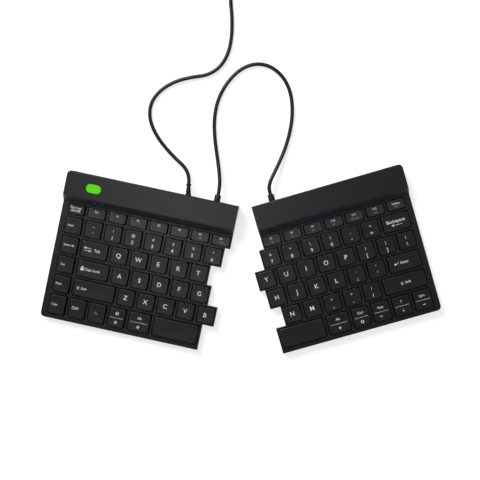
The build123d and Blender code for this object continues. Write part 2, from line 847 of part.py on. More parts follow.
left_nodes = half_nodes(left)
marks = [slope_mark(left, reach, mark_radius, mark_depth) for reach in mark_places]
left_case = left_nodes["left_top_case"][0] - window_hole(left)
for mark in marks:
    left_case -= mark
for reach in (lead_exit, left_link_exit):
    left_case -= wall_hole(left, reach)
left_nodes["left_top_case"] = [left_case]
left_nodes["light_window"] = [light_window(left)]
left_nodes["signal_led"] = [signal_led(left)]
left_nodes["indicator_lenses"] = marks
exit_y = back_edge - halves_clearance
left_nodes["usb_strain_relief"] = [Pos(*left.point(lead_exit, exit_y), exit_height) * strain_relief()]
left_nodes["left_link_collar"] = [
    Pos(*left.point(left_link_exit, exit_y), exit_height) * link_collar()]

right_nodes = half_nodes(right)
right_nodes["right_top_case"] = [right_nodes["right_top_case"][0] - wall_hole(right, right_link_exit)]
right_nodes["right_link_collar"] = [
    Pos(*right.point(right_link_exit, exit_y), exit_height) * link_collar()]

nodes = {name: place_all(left, pieces) for name, pieces in left_nodes.items()}
nodes.update({name: place_all(right, pieces) for name, pieces in right_nodes.items()})

coil, plug_tip = lead_coil()
nodes["usb_cable"] = [cord_tube(lead_route, "lead")]
nodes["usb_cable_coil"] = [coil]
nodes["usb_plug_grip"] = [plug_grip(plug_tip)]
nodes["usb_plug_shell"] = plug_shell(plug_tip)
nodes["link_cable"] = [cord_tube(link_route, "link cable")]

for name, half, reach in (("lead", left, lead_exit), ("left link", left, left_link_exit),
                          ("right link", right, right_link_exit)):
    exit_place = half.place * Pos(*half.point(reach, exit_y), exit_height)
    print(name, "exit", [round(v, 2) for v in exit_place.position])

os.makedirs("parts", exist_ok=True)
for name, pieces in nodes.items():
    solids = [solid for piece in pieces for solid in piece.solids()]
    shape = solids[0] if len(solids) == 1 else Compound(children=solids)
    export_step(shape, "parts/" + name + ".step")
print(len(nodes), "nodes")
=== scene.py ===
"""Split keyboard: the visible pieces of the packed model, laid out as an add-on.

Everything is in metres, in the packed model's own frame. Each half has a frame of its own,
in which y = 0 runs through the number row and x = 0 is the outer edge of the key field.
"""

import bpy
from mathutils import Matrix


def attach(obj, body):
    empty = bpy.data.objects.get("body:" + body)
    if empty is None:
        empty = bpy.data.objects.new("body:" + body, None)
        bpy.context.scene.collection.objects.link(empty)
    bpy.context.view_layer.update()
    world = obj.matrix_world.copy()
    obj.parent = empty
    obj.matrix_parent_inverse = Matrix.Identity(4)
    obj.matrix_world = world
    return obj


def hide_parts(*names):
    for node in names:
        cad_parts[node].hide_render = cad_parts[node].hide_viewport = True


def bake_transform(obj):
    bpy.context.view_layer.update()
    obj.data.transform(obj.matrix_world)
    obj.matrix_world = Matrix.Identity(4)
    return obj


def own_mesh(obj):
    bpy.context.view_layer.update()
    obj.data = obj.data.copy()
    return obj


bl_info = {
    "name": "Split Keyboard",
    "version": (1, 0, 0),
    "blender": (4, 5, 0),
    "location": "3D View > Sidebar > Split Keyboard",
    "description": "Dresses the packed model of a two-part keyboard with its visible pieces",
    "category": "Object",
}

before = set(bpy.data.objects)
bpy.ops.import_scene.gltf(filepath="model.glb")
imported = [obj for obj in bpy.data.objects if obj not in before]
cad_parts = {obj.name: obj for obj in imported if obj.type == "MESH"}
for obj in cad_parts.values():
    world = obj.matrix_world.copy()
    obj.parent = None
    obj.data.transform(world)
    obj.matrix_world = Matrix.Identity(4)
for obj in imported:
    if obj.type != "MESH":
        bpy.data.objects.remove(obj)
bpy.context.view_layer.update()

from math import cos, pi, radians, sin

import bmesh
import bpy
import numpy as np
from mathutils import Matrix, Vector

# Places and sizes that the packed model fixes
LEFT_PLACE = Matrix.Translation((-0.163319, 0.033707, 0)) @ Matrix.Rotation(radians(-12.2), 4, "Z")
RIGHT_PLACE = Matrix.Translation((0.157856, 0.038802, 0)) @ Matrix.Rotation(radians(16.0), 4, "Z")
LEFT_BODY = "left_half"
RIGHT_BODY = "right_half"
LINK_BODY = "link"
HALVES = (("left", LEFT_BODY, LEFT_PLACE), ("right", RIGHT_BODY, RIGHT_PLACE))
KEY_UNIT = 0.019
BACK_OF_KEYS = 0.02165
ROW_DEPTHS = (0.0124, 0.0185, 0.0185, 0.0185, 0.0185, 0.0212)
GAP_ACROSS = 0.0028
GAP_DEEP = 0.0026
CAP_BOTTOM = 0.0052
CAP_HEIGHT = 0.0038
CAP_TOP = CAP_BOTTOM + CAP_HEIGHT
DECK_TOP = 0.0066
BACK_WALL = 0.0502
EXIT_HEIGHT = 0.0075
LEAD_EXIT = 0.1084
LEFT_LINK_EXIT = 0.1355
RIGHT_LINK_EXIT = 0.1177
RELIEF_LEAN = radians(9.0)
CORD_RADIUS = 0.00175
SCREW_HEAD_RADIUS = 0.00125
SCREW_HEAD_HEIGHT = 0.0005
SCREW_SHANK_RADIUS = 0.0008
SAME_CORNER = 0.000004

# The lead's and the link cable's points, as the packed tubes follow them
LEAD_ROUTE = (
    (-0.04617, 0.07036, 0.0075), (-0.0459, 0.0753, 0.0075), (-0.0473, 0.0811, 0.007),
    (-0.0508, 0.0868, 0.006), (-0.0586, 0.0938, 0.004), (-0.0696, 0.1054, 0.0022),
    (-0.0784, 0.1182, 0.0018), (-0.0834, 0.132, 0.00175), (-0.0818, 0.1462, 0.00175),
    (-0.0722, 0.158, 0.00175), (-0.0585, 0.1656, 0.00175), (-0.043, 0.1693, 0.00175),
    (-0.0295, 0.1706, 0.00175), (-0.0175, 0.1776, 0.00175), (-0.0096, 0.19, 0.00175),
    (-0.0063, 0.206, 0.00175), (-0.006, 0.223, 0.00175), (-0.0076, 0.24, 0.00175),
    (-0.007, 0.254, 0.00175), (-0.007, 0.268, 0.00175),
)
LINK_ROUTE = (
    (-0.019, 0.06002, 0.0075), (-0.01739, 0.06747, 0.0075), (-0.0179, 0.08, 0.0054),
    (-0.0202, 0.096, 0.0027), (-0.0226, 0.114, 0.00175), (-0.0229, 0.131, 0.00175),
    (-0.0196, 0.148, 0.00175), (-0.0112, 0.1636, 0.00175), (0.001, 0.176, 0.00175),
    (0.0145, 0.1813, 0.00175), (0.0285, 0.1793, 0.00175), (0.0405, 0.1698, 0.00175),
    (0.0476, 0.156, 0.00175), (0.0498, 0.1395, 0.00175), (0.0484, 0.123, 0.00175),
    (0.0436, 0.1046, 0.0023), (0.0369, 0.0888, 0.0042), (0.0314, 0.0776, 0.006),
    (0.0285, 0.071, 0.0071), (0.02784, 0.06523, 0.0075), (0.02922, 0.06041, 0.0075),
)
COIL_CENTRE = Vector((0.022, 0.2715, CORD_RADIUS))
COIL_RADIUS = 0.029
COIL_PITCH = 0.0042
COIL_HALF_TURNS = 8
COIL_POINTS_A_HALF_TURN = 8
PLUG_TIP = Vector((0.0475, 0.30155, 0.004))

# The plug grip's sections: place along it, width, height and corner radius
GRIP_SECTIONS = (
    (0.0, 0.0040, 0.0040, 0.0019), (0.0004, 0.0044, 0.0044, 0.0021), (0.0068, 0.0056, 0.0056, 0.0027),
    (0.0080, 0.0066, 0.0058, 0.0027), (0.0088, 0.0100, 0.0068, 0.0026), (0.0100, 0.0134, 0.0077, 0.0025),
    (0.0118, 0.0151, 0.0080, 0.0025), (0.0140, 0.0156, 0.0080, 0.0025), (0.0330, 0.0156, 0.0080, 0.0025),
    (0.0337, 0.0153, 0.0077, 0.0024), (0.0340, 0.0148, 0.0072, 0.0022),
)
# A cord's grommet, as (distance along, radius) from the inside: a flange and a neck in the wall
GROMMET_PROFILE = ((-0.00235, 0.0036), (-0.00215, 0.0038), (-0.00145, 0.0038), (-0.00135, 0.0036),
                   (-0.00135, 0.0026), (0.0002, 0.0026))

# The stage, fitted to the photograph. A light's row: name, place, aim, size and power.
FLOOR_HALF_SIDE = 40.0
FLOOR_GLOW = 0.68
WORLD_STRENGTH = 0.13
LIGHTS = (
    ("window_light", (-0.75, 1.2, 1.05), (0, 0.05, 0), 1.0, 28.0),
    ("fill_light", (0.9, 0.2, 1.5), (0, 0.02, 0), 1.0, 2.0),
    ("sheen_light", (-0.198, 0.07, 1.5), (-0.05, 0.05, 0), 0.25, 1.8),
)
CAMERA_PLACE = (0.03937, 0.05766, 0.902)
CAMERA_PITCH = -0.04379
CAMERA_ROLL = 0.04272
CAMERA_SENSOR_MM = 36.0
CAMERA_LENS_MM = 72.70

# Keys whose caps take a lighter and shinier copy of the cap plastic, the lighter tone painted sheen, and
# keys with a bar that the fingers find
FUNCTION_ROW = ("escape_key", "f1_to_f6_keys", "f7_to_f12_keys", "delete_key")
FINGER_MARKS = (("keys_a_to_g", "F"), ("keys_h_to_quote", "J"))
# Widths that several keys share, in key units
FUNCTION_UNITS = 1.0357
ARROW_UNITS = 1.0333
SPACE_UNITS = 2.4


def letters(node, text):
    """Keys of one unit with a letter each."""
    return [(node, 1.0, ("letter", letter)) for letter in text]


def pairs(node, text):
    """Keys of one unit with a mark above a figure each."""
    return [(node, 1.0, ("pair", *two)) for two in text.split()]


def functions(node, *legends):
    """Function keys with a name and a second mark each; "" leaves a place bare."""
    return [(node, FUNCTION_UNITS, ("high", name, mark)) for name, mark in legends]


# Rows from the back, keys from the outer edge inwards: node, width in units, legend
LEFT_KEYS = (
    (("func_toggle_key", 1.0, ("lines", "Func key", "On/Off")), *functions("escape_key", ("Esc", "")),
     *functions("f1_to_f6_keys", ("F1", ""), ("F2", ""), ("F3", ""), ("F4", ""), ("F5", "screen"),
                ("F6", "screens"))),
    (("shortcut_keys", 1.0, ("word", "Undo")), *pairs("number_keys_left", "~` !1 @2 #3 $4 %5 ^6")),
    (("shortcut_keys", 1.0, ("words", "Select All")), ("tab_key", 1.5, ("tab", "Tab")),
     *letters("keys_q_to_t", "QWERT")),
    (("shortcut_keys", 1.0, ("word", "Cut")), ("caps_lock_key", 1.75, ("lock", "Caps Lock")),
     *letters("keys_a_to_g", "ASDFG")),
    (("shortcut_keys", 1.0, ("word", "Paste")), ("left_shift_key", 2.25, ("shift_left", "Shift")),
     *letters("keys_z_to_b", "ZXCVB")),
    (("shortcut_keys", 1.0, ("word", "Copy")), ("left_ctrl_key", 1.0, ("ctrl", "Ctrl")),
     ("fn_key", 1.0, ("dim", "Fn")), ("system_key", 1.0, ("split", "ring", "diamond")),
     ("left_alt_key", 1.25, ("split", "Alt", "diamond")), ("left_space_key", SPACE_UNITS, ("bare",))),
)
RIGHT_KEYS = (
    (("delete_key", FUNCTION_UNITS, ("lines_dim", "Delete", "Insert")),
     *functions("f7_to_f12_keys", ("F12", "Prt Sc"), ("F11", "Scroll Lock"), ("F10", "louder"),
                ("F9", "quieter"), ("F8", "mute"), ("F7", "screen"))),
    (("backspace_key", 1.5, ("backspace", "Backspace")), *pairs("number_keys_right", "+= _- )0 (9 *8 &7")),
    (*pairs("keys_y_to_backslash", "|\\ }] {["), *letters("keys_y_to_backslash", "POIUY")),
    (("enter_key", 1.75, ("enter", "Enter")), *pairs("keys_h_to_quote", "\"' :;"),
     *letters("keys_h_to_quote", "LKJH")),
    (("right_shift_key", 2.25, ("shift_right", "Shift")), *pairs("keys_n_to_slash", "?/ >. <,"),
     *letters("keys_n_to_slash", "MN")),
    (("arrow_keys", ARROW_UNITS, ("split", "PgDn", "right")),
     ("arrow_keys", ARROW_UNITS, ("split", "up", "down")),
     ("arrow_keys", ARROW_UNITS, ("split", "PgUp", "left")),
     ("right_ctrl_key", 1.0, ("split", "Ctrl", "ring")),
     ("right_alt_key", 1.25, ("split", "Alt", "diamond")), ("right_space_key", SPACE_UNITS, ("bare",))),
)


def length(name, description, default):
    return bpy.props.FloatProperty(name=name, description=description, default=default,
                                   unit="LENGTH", precision=5, min=0)


def colour(name, description, default):
    return bpy.props.FloatVectorProperty(name=name, description=description, default=default,
                                         subtype="COLOR", min=0, max=1)


class CapSizes(bpy.types.PropertyGroup):
    """Sizes of the key caps"""
    corner: length("Corner", "Radius of a cap's corners seen from above", 0.0015)
    edge: length("Edge", "Radius of the rounding round a cap's top", 0.00038)
    draft: length("Draft", "How far a cap's walls lean in at the top", 0.00045)
    dish: length("Dish", "How deep a cap's top is dished", 0.00016)
    wall: length("Wall", "Thickness of a cap's walls and roof", 0.001)


class LegendSizes(bpy.types.PropertyGroup):
    """Sizes of the printing on the caps"""
    letter: length("Letter", "Height of a letter in the middle of a cap", 0.0040)
    figure: length("Figure", "Height of a figure on a cap with two marks", 0.0031)
    mark: length("Mark", "Height of the mark above a figure", 0.0023)
    word: length("Word", "Height of the capitals in a word", 0.0023)
    small: length("Small word", "Height of the capitals in a small word", 0.0018)
    ink: length("Ink", "Thickness of the printing", 0.00005)


class CaseSizes(bpy.types.PropertyGroup):
    """Sizes of the case's finish"""
    edge: length("Edge", "Width of the eased edges round the openings and rims", 0.00014)
    foot_radius: length("Foot radius", "Radius of a rubber foot", 0.0045)
    foot_height: length("Foot height", "Height of a rubber foot with the part in its recess", 0.0013)
    foot_edge: length("Foot edge", "Rounding of a rubber foot", 0.0003)


class CordSizes(bpy.types.PropertyGroup):
    """Sizes of the cords and what holds them"""
    diameter: length("Diameter", "Diameter of both cords", 2 * CORD_RADIUS)
    lead: length("Lead", "Length of the lead from the boot to the plug", 1.3)
    collar_radius: length("Collar radius", "Radius of the link cable's collars", 0.003)
    collar_length: length("Collar length", "How far a collar stands out of the case", 0.006)
    boot_base: length("Boot base", "Radius of the lead's boot at the case", 0.0028)
    boot_tip: length("Boot tip", "Radius of the lead's boot before its end ring", 0.002)
    boot_ring: length("Boot ring", "Radius of the ring that ends the boot", 0.0025)
    boot_length: length("Boot length", "How far the boot stands out of the case", 0.0105)


class Finishes(bpy.types.PropertyGroup):
    """Colours of the finishes"""
    case: colour("Case", "Matt plastic of the two cases", (0.0021, 0.0020, 0.0021))
    cap: colour("Caps", "Plastic of the key caps", (0.0019, 0.0019, 0.0021))
    ink: colour("Ink", "White printing", (0.80, 0.81, 0.82))
    dim_ink: colour("Dim ink", "Grey-blue printing of the second functions", (0.26, 0.29, 0.36))
    jacket: colour("Jacket", "Outside of the cords", (0.008, 0.008, 0.0083))
    light: colour("Light", "Lit window in the bar", (0.14, 0.80, 0.004))
    floor: colour("Floor", "Surface under the keyboard", (0.6, 0.6, 0.6))


# Nodes and materials


def feed(tree, node, values):
    """A node's inputs, by name or number, take other nodes' outputs or constants."""
    for key, value in values.items():
        if isinstance(value, bpy.types.NodeSocket):
            tree.links.new(value, node.inputs[key])
        else:
            node.inputs[key].default_value = value


def add(tree, kind, inputs=None, **settings):
    """A new node with its settings and what its inputs take."""
    node = tree.nodes.new(kind)
    for name, value in settings.items():
        setattr(node, name, value)
    feed(tree, node, inputs or {})
    return node


def new_material(name):
    material = bpy.data.materials.new(name)
    material.use_nodes = True
    return material, material.node_tree, material.node_tree.nodes["Principled BSDF"]


def ramped(tree, value, low, high, start=0.0, end=1.0):
    """A colour that goes from one tone to another while a value goes from start to end."""
    ramp = add(tree, "ShaderNodeValToRGB", {"Fac": value})
    for element, position, tone in zip(ramp.color_ramp.elements, (start, end), (low, high)):
        element.position = position
        element.color = (*tone, 1)
    return ramp.outputs["Color"]


def mottled(tree, low, high, size):
    """A colour that wanders between two tones over patches of a size, and the place it goes by."""
    place = add(tree, "ShaderNodeTexCoord").outputs["Object"]
    noise = add(tree, "ShaderNodeTexNoise", {"Vector": place, "Scale": 1 / size, "Detail": 2.0})
    return ramped(tree, noise.outputs["Fac"], low, high, 0.35, 0.65), place


def grain(tree, shader, place, size, depth, rough):
    """Fine moulded grain: a bump and a roughness that change together."""
    noise = add(tree, "ShaderNodeTexNoise", {"Vector": place, "Scale": 1 / size, "Detail": 3.0})
    bump = add(tree, "ShaderNodeBump", {"Height": noise.outputs["Fac"], "Strength": 0.35,
                                        "Distance": depth})
    spread = add(tree, "ShaderNodeMapRange", {"Value": noise.outputs["Fac"], "To Min": rough[0],
                                              "To Max": rough[1]})
    feed(tree, shader, {"Roughness": spread.outputs["Result"], "Normal": bump.outputs["Normal"]})


def grained(name, tone, patch, patch_share, size, depth, rough, shine=0.5, metallic=0.0):
    """A finish of one tone that varies a little in patches, with a fine grain over it."""
    material, tree, shader = new_material(name)
    low = [c * (1 - patch_share) for c in tone]
    high = [min(1.0, c * (1 + patch_share)) for c in tone]
    shade, place = mottled(tree, low, high, patch)
    feed(tree, shader, {"Base Color": shade, "Metallic": metallic, "Specular IOR Level": shine})
    grain(tree, shader, place, size, depth, rough)
    return material


def board_green():
    """Solder mask with the faint lines of the tracks under it."""
    material, tree, shader = new_material("board_green")
    place = add(tree, "ShaderNodeTexCoord").outputs["Object"]
    tracks = add(tree, "ShaderNodeTexBrick", {
        "Vector": place, "Color1": (0.005, 0.060, 0.022, 1), "Color2": (0.006, 0.072, 0.027, 1),
        "Mortar": (0.012, 0.120, 0.045, 1), "Scale": 260.0, "Mortar Size": 0.06}, offset=0.5, squash=1.0)
    feed(tree, shader, {"Base Color": tracks.outputs["Color"]})
    grain(tree, shader, place, 0.001, 0.00001, (0.25, 0.38))
    return material


def contact_sheet():
    """The membrane, near black as painted shade for the gaps round the keys, with its printed tracks showing
    faintly through.
    """
    material, tree, shader = new_material("contact_sheet")
    place = add(tree, "ShaderNodeTexCoord").outputs["Object"]
    tracks = add(tree, "ShaderNodeTexWave", {"Vector": place, "Scale": 90.0, "Distortion": 1.5,
                                             "Detail Scale": 20.0}, wave_type="BANDS", bands_direction="Y")
    feed(tree, shader, {"Base Color": ramped(tree, tracks.outputs["Fac"], (0.010, 0.011, 0.011),
                                             (0.022, 0.024, 0.023))})
    grain(tree, shader, place, 0.002, 0.00001, (0.25, 0.4))
    return material


def lit_window(tone):
    """Lime plastic lit from below, brightest over the light and softer at its ends."""
    material, tree, shader = new_material("lit_window")
    middle = LEFT_PLACE @ Vector((0.0222, 0.03755, 0.0144))
    shade, place = mottled(tree, [c * 0.12 for c in tone], [c * 0.16 for c in tone], 0.002)
    centred = add(tree, "ShaderNodeMapping", {"Vector": place, "Location": tuple(-middle)})
    away = add(tree, "ShaderNodeVectorMath", {0: centred.outputs["Vector"]}, operation="LENGTH")
    glow = add(tree, "ShaderNodeMapRange", {"Value": away.outputs["Value"], "From Max": 0.0075,
                                            "To Min": 0.78, "To Max": 0.62})
    feed(tree, shader, {"Base Color": shade, "Specular IOR Level": 0.15, "Emission Color": (*tone, 1),
                        "Emission Strength": glow.outputs["Result"]})
    grain(tree, shader, place, 0.0008, 0.00001, (0.30, 0.42))
    return material


def make_finishes(looks):
    """Every finish of the keyboard, by the name that its pieces ask for."""
    dark = (0.006, 0.006, 0.0065)
    # The function row's cap tone, 1.7 times the caps', is painted sheen for the light that the back row
    # catches
    sheen_painted_cap_tone = [c * 1.7 for c in looks.cap]
    # Material, tone, patch size and share, grain size and depth, roughness, shine, metallic
    rows = {
        "case": ("matt_case_plastic", looks.case, 0.06, 0.07, 0.00022, 0.00003, (0.32, 0.42), 0.44),
        "caps": ("key_cap_plastic", looks.cap, 0.012, 0.09, 0.00018, 0.00002, (0.32, 0.42), 0.46),
        "function_caps_painted_sheen": ("function_cap_plastic", sheen_painted_cap_tone, 0.012, 0.09, 0.00018, 0.00002,
                          (0.34, 0.44), 0.62),
        "ink": ("white_ink", looks.ink, 0.001, 0.05, 0.0003, 0.00001, (0.5, 0.65)),
        "dim_ink": ("grey_ink", looks.dim_ink, 0.001, 0.08, 0.0003, 0.00001, (0.5, 0.65)),
        "jacket": ("cord_jacket", looks.jacket, 0.006, 0.12, 0.0004, 0.00003, (0.30, 0.42), 0.4),
        "boot": ("moulded_boot", dark, 0.003, 0.10, 0.0003, 0.00003, (0.36, 0.50), 0.35),
        "rubber": ("foot_rubber", (0.03, 0.03, 0.031), 0.002, 0.15, 0.0003, 0.00005, (0.7, 0.9)),
        "steel": ("plate_steel", (0.55, 0.56, 0.57), 0.008, 0.10, 0.0006, 0.00002, (0.25, 0.42), 0.5, 1.0),
        "screw": ("screw_steel", (0.07, 0.07, 0.075), 0.0006, 0.15, 0.0002, 0.00001, (0.25, 0.42),
                  0.5, 1.0),
        "silicone": ("dome_rubber", (0.10, 0.11, 0.11), 0.002, 0.06, 0.0004, 0.00002, (0.45, 0.6)),
        "lever": ("lever_plastic", (0.03, 0.03, 0.03), 0.002, 0.08, 0.0003, 0.00001, (0.35, 0.5)),
        "shell": ("plug_shell_metal", (0.66, 0.66, 0.67), 0.004, 0.06, 0.0003, 0.00001, (0.16, 0.30),
                  0.5, 1.0),
        "grip": ("plug_grip_plastic", dark, 0.006, 0.10, 0.0003, 0.00003, (0.42, 0.58)),
        "led": ("led_white", (0.75, 0.74, 0.62), 0.001, 0.06, 0.0003, 0.00001, (0.3, 0.4)),
        "lens": ("indicator_lens", (0.50, 0.52, 0.68), 0.0004, 0.15, 0.0002, 0.00001, (0.2, 0.35)),
        # The slope's navy tone is painted shade and painted reflection; the slope is the same case plastic
        "strip": ("slope_strip", (0.058, 0.055, 0.082), 0.01, 0.10, 0.00022, 0.00002, (0.30, 0.40), 0.25),
    }
    finishes = {name: grained(*row) for name, row in rows.items()}
    finishes.update(board=board_green(), sheet=contact_sheet(), window=lit_window(looks.light))
    return finishes


FINISHES = {}


def finish_of(name):
    """A finish by name; all are made from the scene's colours when the first is asked for."""
    if not FINISHES:
        FINISHES.update(make_finishes(bpy.context.scene.keyboard_finishes))
    return FINISHES[name]


# Making pieces


def put_in_scene(mesh, name, *finishes):
    """A finished piece at the origin, with its finishes in order."""
    mesh.materials.clear()
    for finish in finishes:
        mesh.materials.append(finish_of(finish))
    return new_object(mesh, name)


def declare(piece, slot, body, *nodes):
    """Hides the packed nodes that a piece stands for and, if one body carries it, puts the piece on that
    body. The slot is not used.
    """
    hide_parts(*nodes)
    if body:
        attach(piece, body)
    return piece


def smooth_by_angle(mesh, degrees=35):
    mesh.shade_smooth()
    mesh.set_sharp_from_angle(angle=radians(degrees))


def evaluated_mesh(thing, name):
    """The mesh that a curve, or an object with modifiers, comes to; the object goes away."""
    bpy.context.view_layer.update()
    mesh = bpy.data.meshes.new_from_object(thing.evaluated_get(bpy.context.evaluated_depsgraph_get()))
    mesh.name = name
    bpy.data.objects.remove(thing)
    return mesh


def new_object(data, name="temporary"):
    thing = bpy.data.objects.new(name, data)
    bpy.context.scene.collection.objects.link(thing)
    return thing


def nurbs_curve(points, name, radius=0.0):
    """A smooth open cord line through the middle of its route."""
    curve = bpy.data.curves.new(name, "CURVE")
    curve.dimensions = "3D"
    curve.resolution_u = 8
    curve.bevel_depth = radius
    curve.bevel_resolution = 5
    curve.use_fill_caps = radius > 0
    spline = curve.splines.new("NURBS")
    spline.points.add(len(points) - 1)
    for point, place in zip(spline.points, points):
        point.co = (*place, 1)
    spline.order_u = 3
    spline.use_endpoint_u = True
    return curve


def round_steps(steps):
    """The cosine and sine at even steps round a circle."""
    return [(cos(2 * pi * s / steps), sin(2 * pi * s / steps)) for s in range(steps)]


def lofted(sections):
    """A closed skin through sections with equal numbers of points, as a bmesh."""
    shape = bmesh.new()
    rings = [[shape.verts.new(point) for point in section] for section in sections]
    for ring, after in zip(rings, rings[1:]):
        for s in range(len(ring)):
            t = (s + 1) % len(ring)
            shape.faces.new((ring[s], ring[t], after[t], after[s]))
    shape.faces.new(rings[0])
    shape.faces.new(rings[-1])
    bmesh.ops.recalc_face_normals(shape, faces=shape.faces)
    return shape


def lathe(profile, steps=32):
    """A closed turned shape about y, from (distance along, radius) pairs, as a bmesh."""
    return lofted([[(radius * c, along, radius * s) for c, s in round_steps(steps)]
                   for along, radius in profile])


def mesh_from(shape, name):
    """A bmesh as a plain mesh; the bmesh goes away."""
    mesh = bpy.data.meshes.new(name)
    shape.to_mesh(mesh)
    shape.free()
    return mesh


def mesh_of(shapes, name):
    """One mesh from bmesh shapes that are already in place."""
    gathered = bmesh.new()
    for shape in shapes:
        part = mesh_from(shape, "part")
        gathered.from_mesh(part)
        bpy.data.meshes.remove(part)
    return mesh_from(gathered, name)


def all_cells():
    """Each key's node, placing matrix, cap width and depth, and legend."""
    cells = []
    for rows, inward, place in ((LEFT_KEYS, 1, LEFT_PLACE), (RIGHT_KEYS, -1, RIGHT_PLACE)):
        level = BACK_OF_KEYS
        for depth, keys in zip(ROW_DEPTHS, rows):
            reach = 0.0
            for node, units, legend in keys:
                width = units * KEY_UNIT
                centre = (inward * (reach + width / 2), level - depth / 2, 0)
                cells.append((node, place @ Matrix.Translation(centre), width - GAP_ACROSS,
                              depth - GAP_DEEP, legend))
                reach += width
            level -= depth
    return cells


def dish_at(x, y, width, depth, dish):
    """How far a cap's top lies below its rim at a point."""
    across = max(0.0, 1 - (2 * x / width) ** 2)
    deep = max(0.0, 1 - (2 * y / depth) ** 2)
    return dish * across * deep


# Geometry node trees


def new_tree(name, inputs, outputs):
    """An empty geometry tree with the labels and kinds of what it takes and gives."""
    tree = bpy.data.node_groups.new(name, "GeometryNodeTree")
    for in_out, sockets in (("INPUT", inputs), ("OUTPUT", outputs)):
        for label, kind in sockets.items():
            tree.interface.new_socket(label, in_out=in_out, socket_type="NodeSocket" + kind)
    return tree, tree.nodes.new("NodeGroupInput").outputs, tree.nodes.new("NodeGroupOutput")


def math(tree, operation, *values):
    """A math node's result from sockets or numbers."""
    return add(tree, "ShaderNodeMath", dict(enumerate(values)), operation=operation).outputs[0]


def end_tree(tree, given, result, instance):
    """Ends a tree: the instance turned about z on each point, made real and given its finish."""
    turned_by = add(tree, "ShaderNodeCombineXYZ", {"Z": given["Turn"]})
    spread = add(tree, "GeometryNodeInstanceOnPoints", {
        "Points": given["Geometry"], "Instance": instance, "Rotation": turned_by.outputs[0]})
    real = add(tree, "GeometryNodeRealizeInstances", {"Geometry": spread.outputs["Instances"]})
    paint = add(tree, "GeometryNodeSetMaterial", {"Geometry": real.outputs["Geometry"],
                                                  "Material": given["Finish"]})
    feed(tree, result, {"Geometry": paint.outputs["Geometry"]})
    return tree


def run_tree(tree, places, settings, name):
    """The plain mesh that a tree makes of points, with inputs set by socket identifier."""
    points = bpy.data.meshes.new("points")
    points.from_pydata([tuple(place) for place in places], [], [])
    thing = new_object(points)
    modifier = thing.modifiers.new(tree.name, "NODES")
    modifier.node_group = tree
    for item in tree.interface.items_tree:
        if item.in_out == "INPUT" and item.name in settings:
            modifier[item.identifier] = settings[item.name]
    return evaluated_mesh(thing, name)


def cap_ring_tree():
    """One more ring of a cap's section: the leading face moves to an inset and a height."""
    tree, given, result = new_tree("Cap Ring", {
        "Mesh": "Geometry", "Leading": "Bool", "Width": "Float", "Depth": "Float", "Inset": "Float",
        "Height": "Float"}, {"Mesh": "Geometry", "Leading": "Bool"})
    push = add(tree, "GeometryNodeExtrudeMesh", {
        "Mesh": given["Mesh"], "Selection": given["Leading"], "Individual": False,
        "Offset Scale": 0.0}, mode="FACES")
    outline = add(tree, "GeometryNodeInputNamedAttribute", {"Name": "outline"}, data_type="FLOAT_VECTOR")
    twice = math(tree, "MULTIPLY", given["Inset"], 2.0)
    shares = {axis: math(tree, "DIVIDE", math(tree, "SUBTRACT", given[side], twice), given[side])
              for axis, side in (("X", "Width"), ("Y", "Depth"))}
    scale = add(tree, "ShaderNodeCombineXYZ", shares)
    lift = add(tree, "ShaderNodeCombineXYZ", {"Z": given["Height"]})
    place = add(tree, "ShaderNodeVectorMath", {
        0: outline.outputs["Attribute"], 1: scale.outputs[0], 2: lift.outputs[0]}, operation="MULTIPLY_ADD")
    move = add(tree, "GeometryNodeSetPosition", {
        "Geometry": push.outputs["Mesh"], "Selection": push.outputs["Top"], "Position": place.outputs[0]})
    feed(tree, result, {"Mesh": move.outputs["Geometry"], "Leading": push.outputs["Top"]})
    return tree


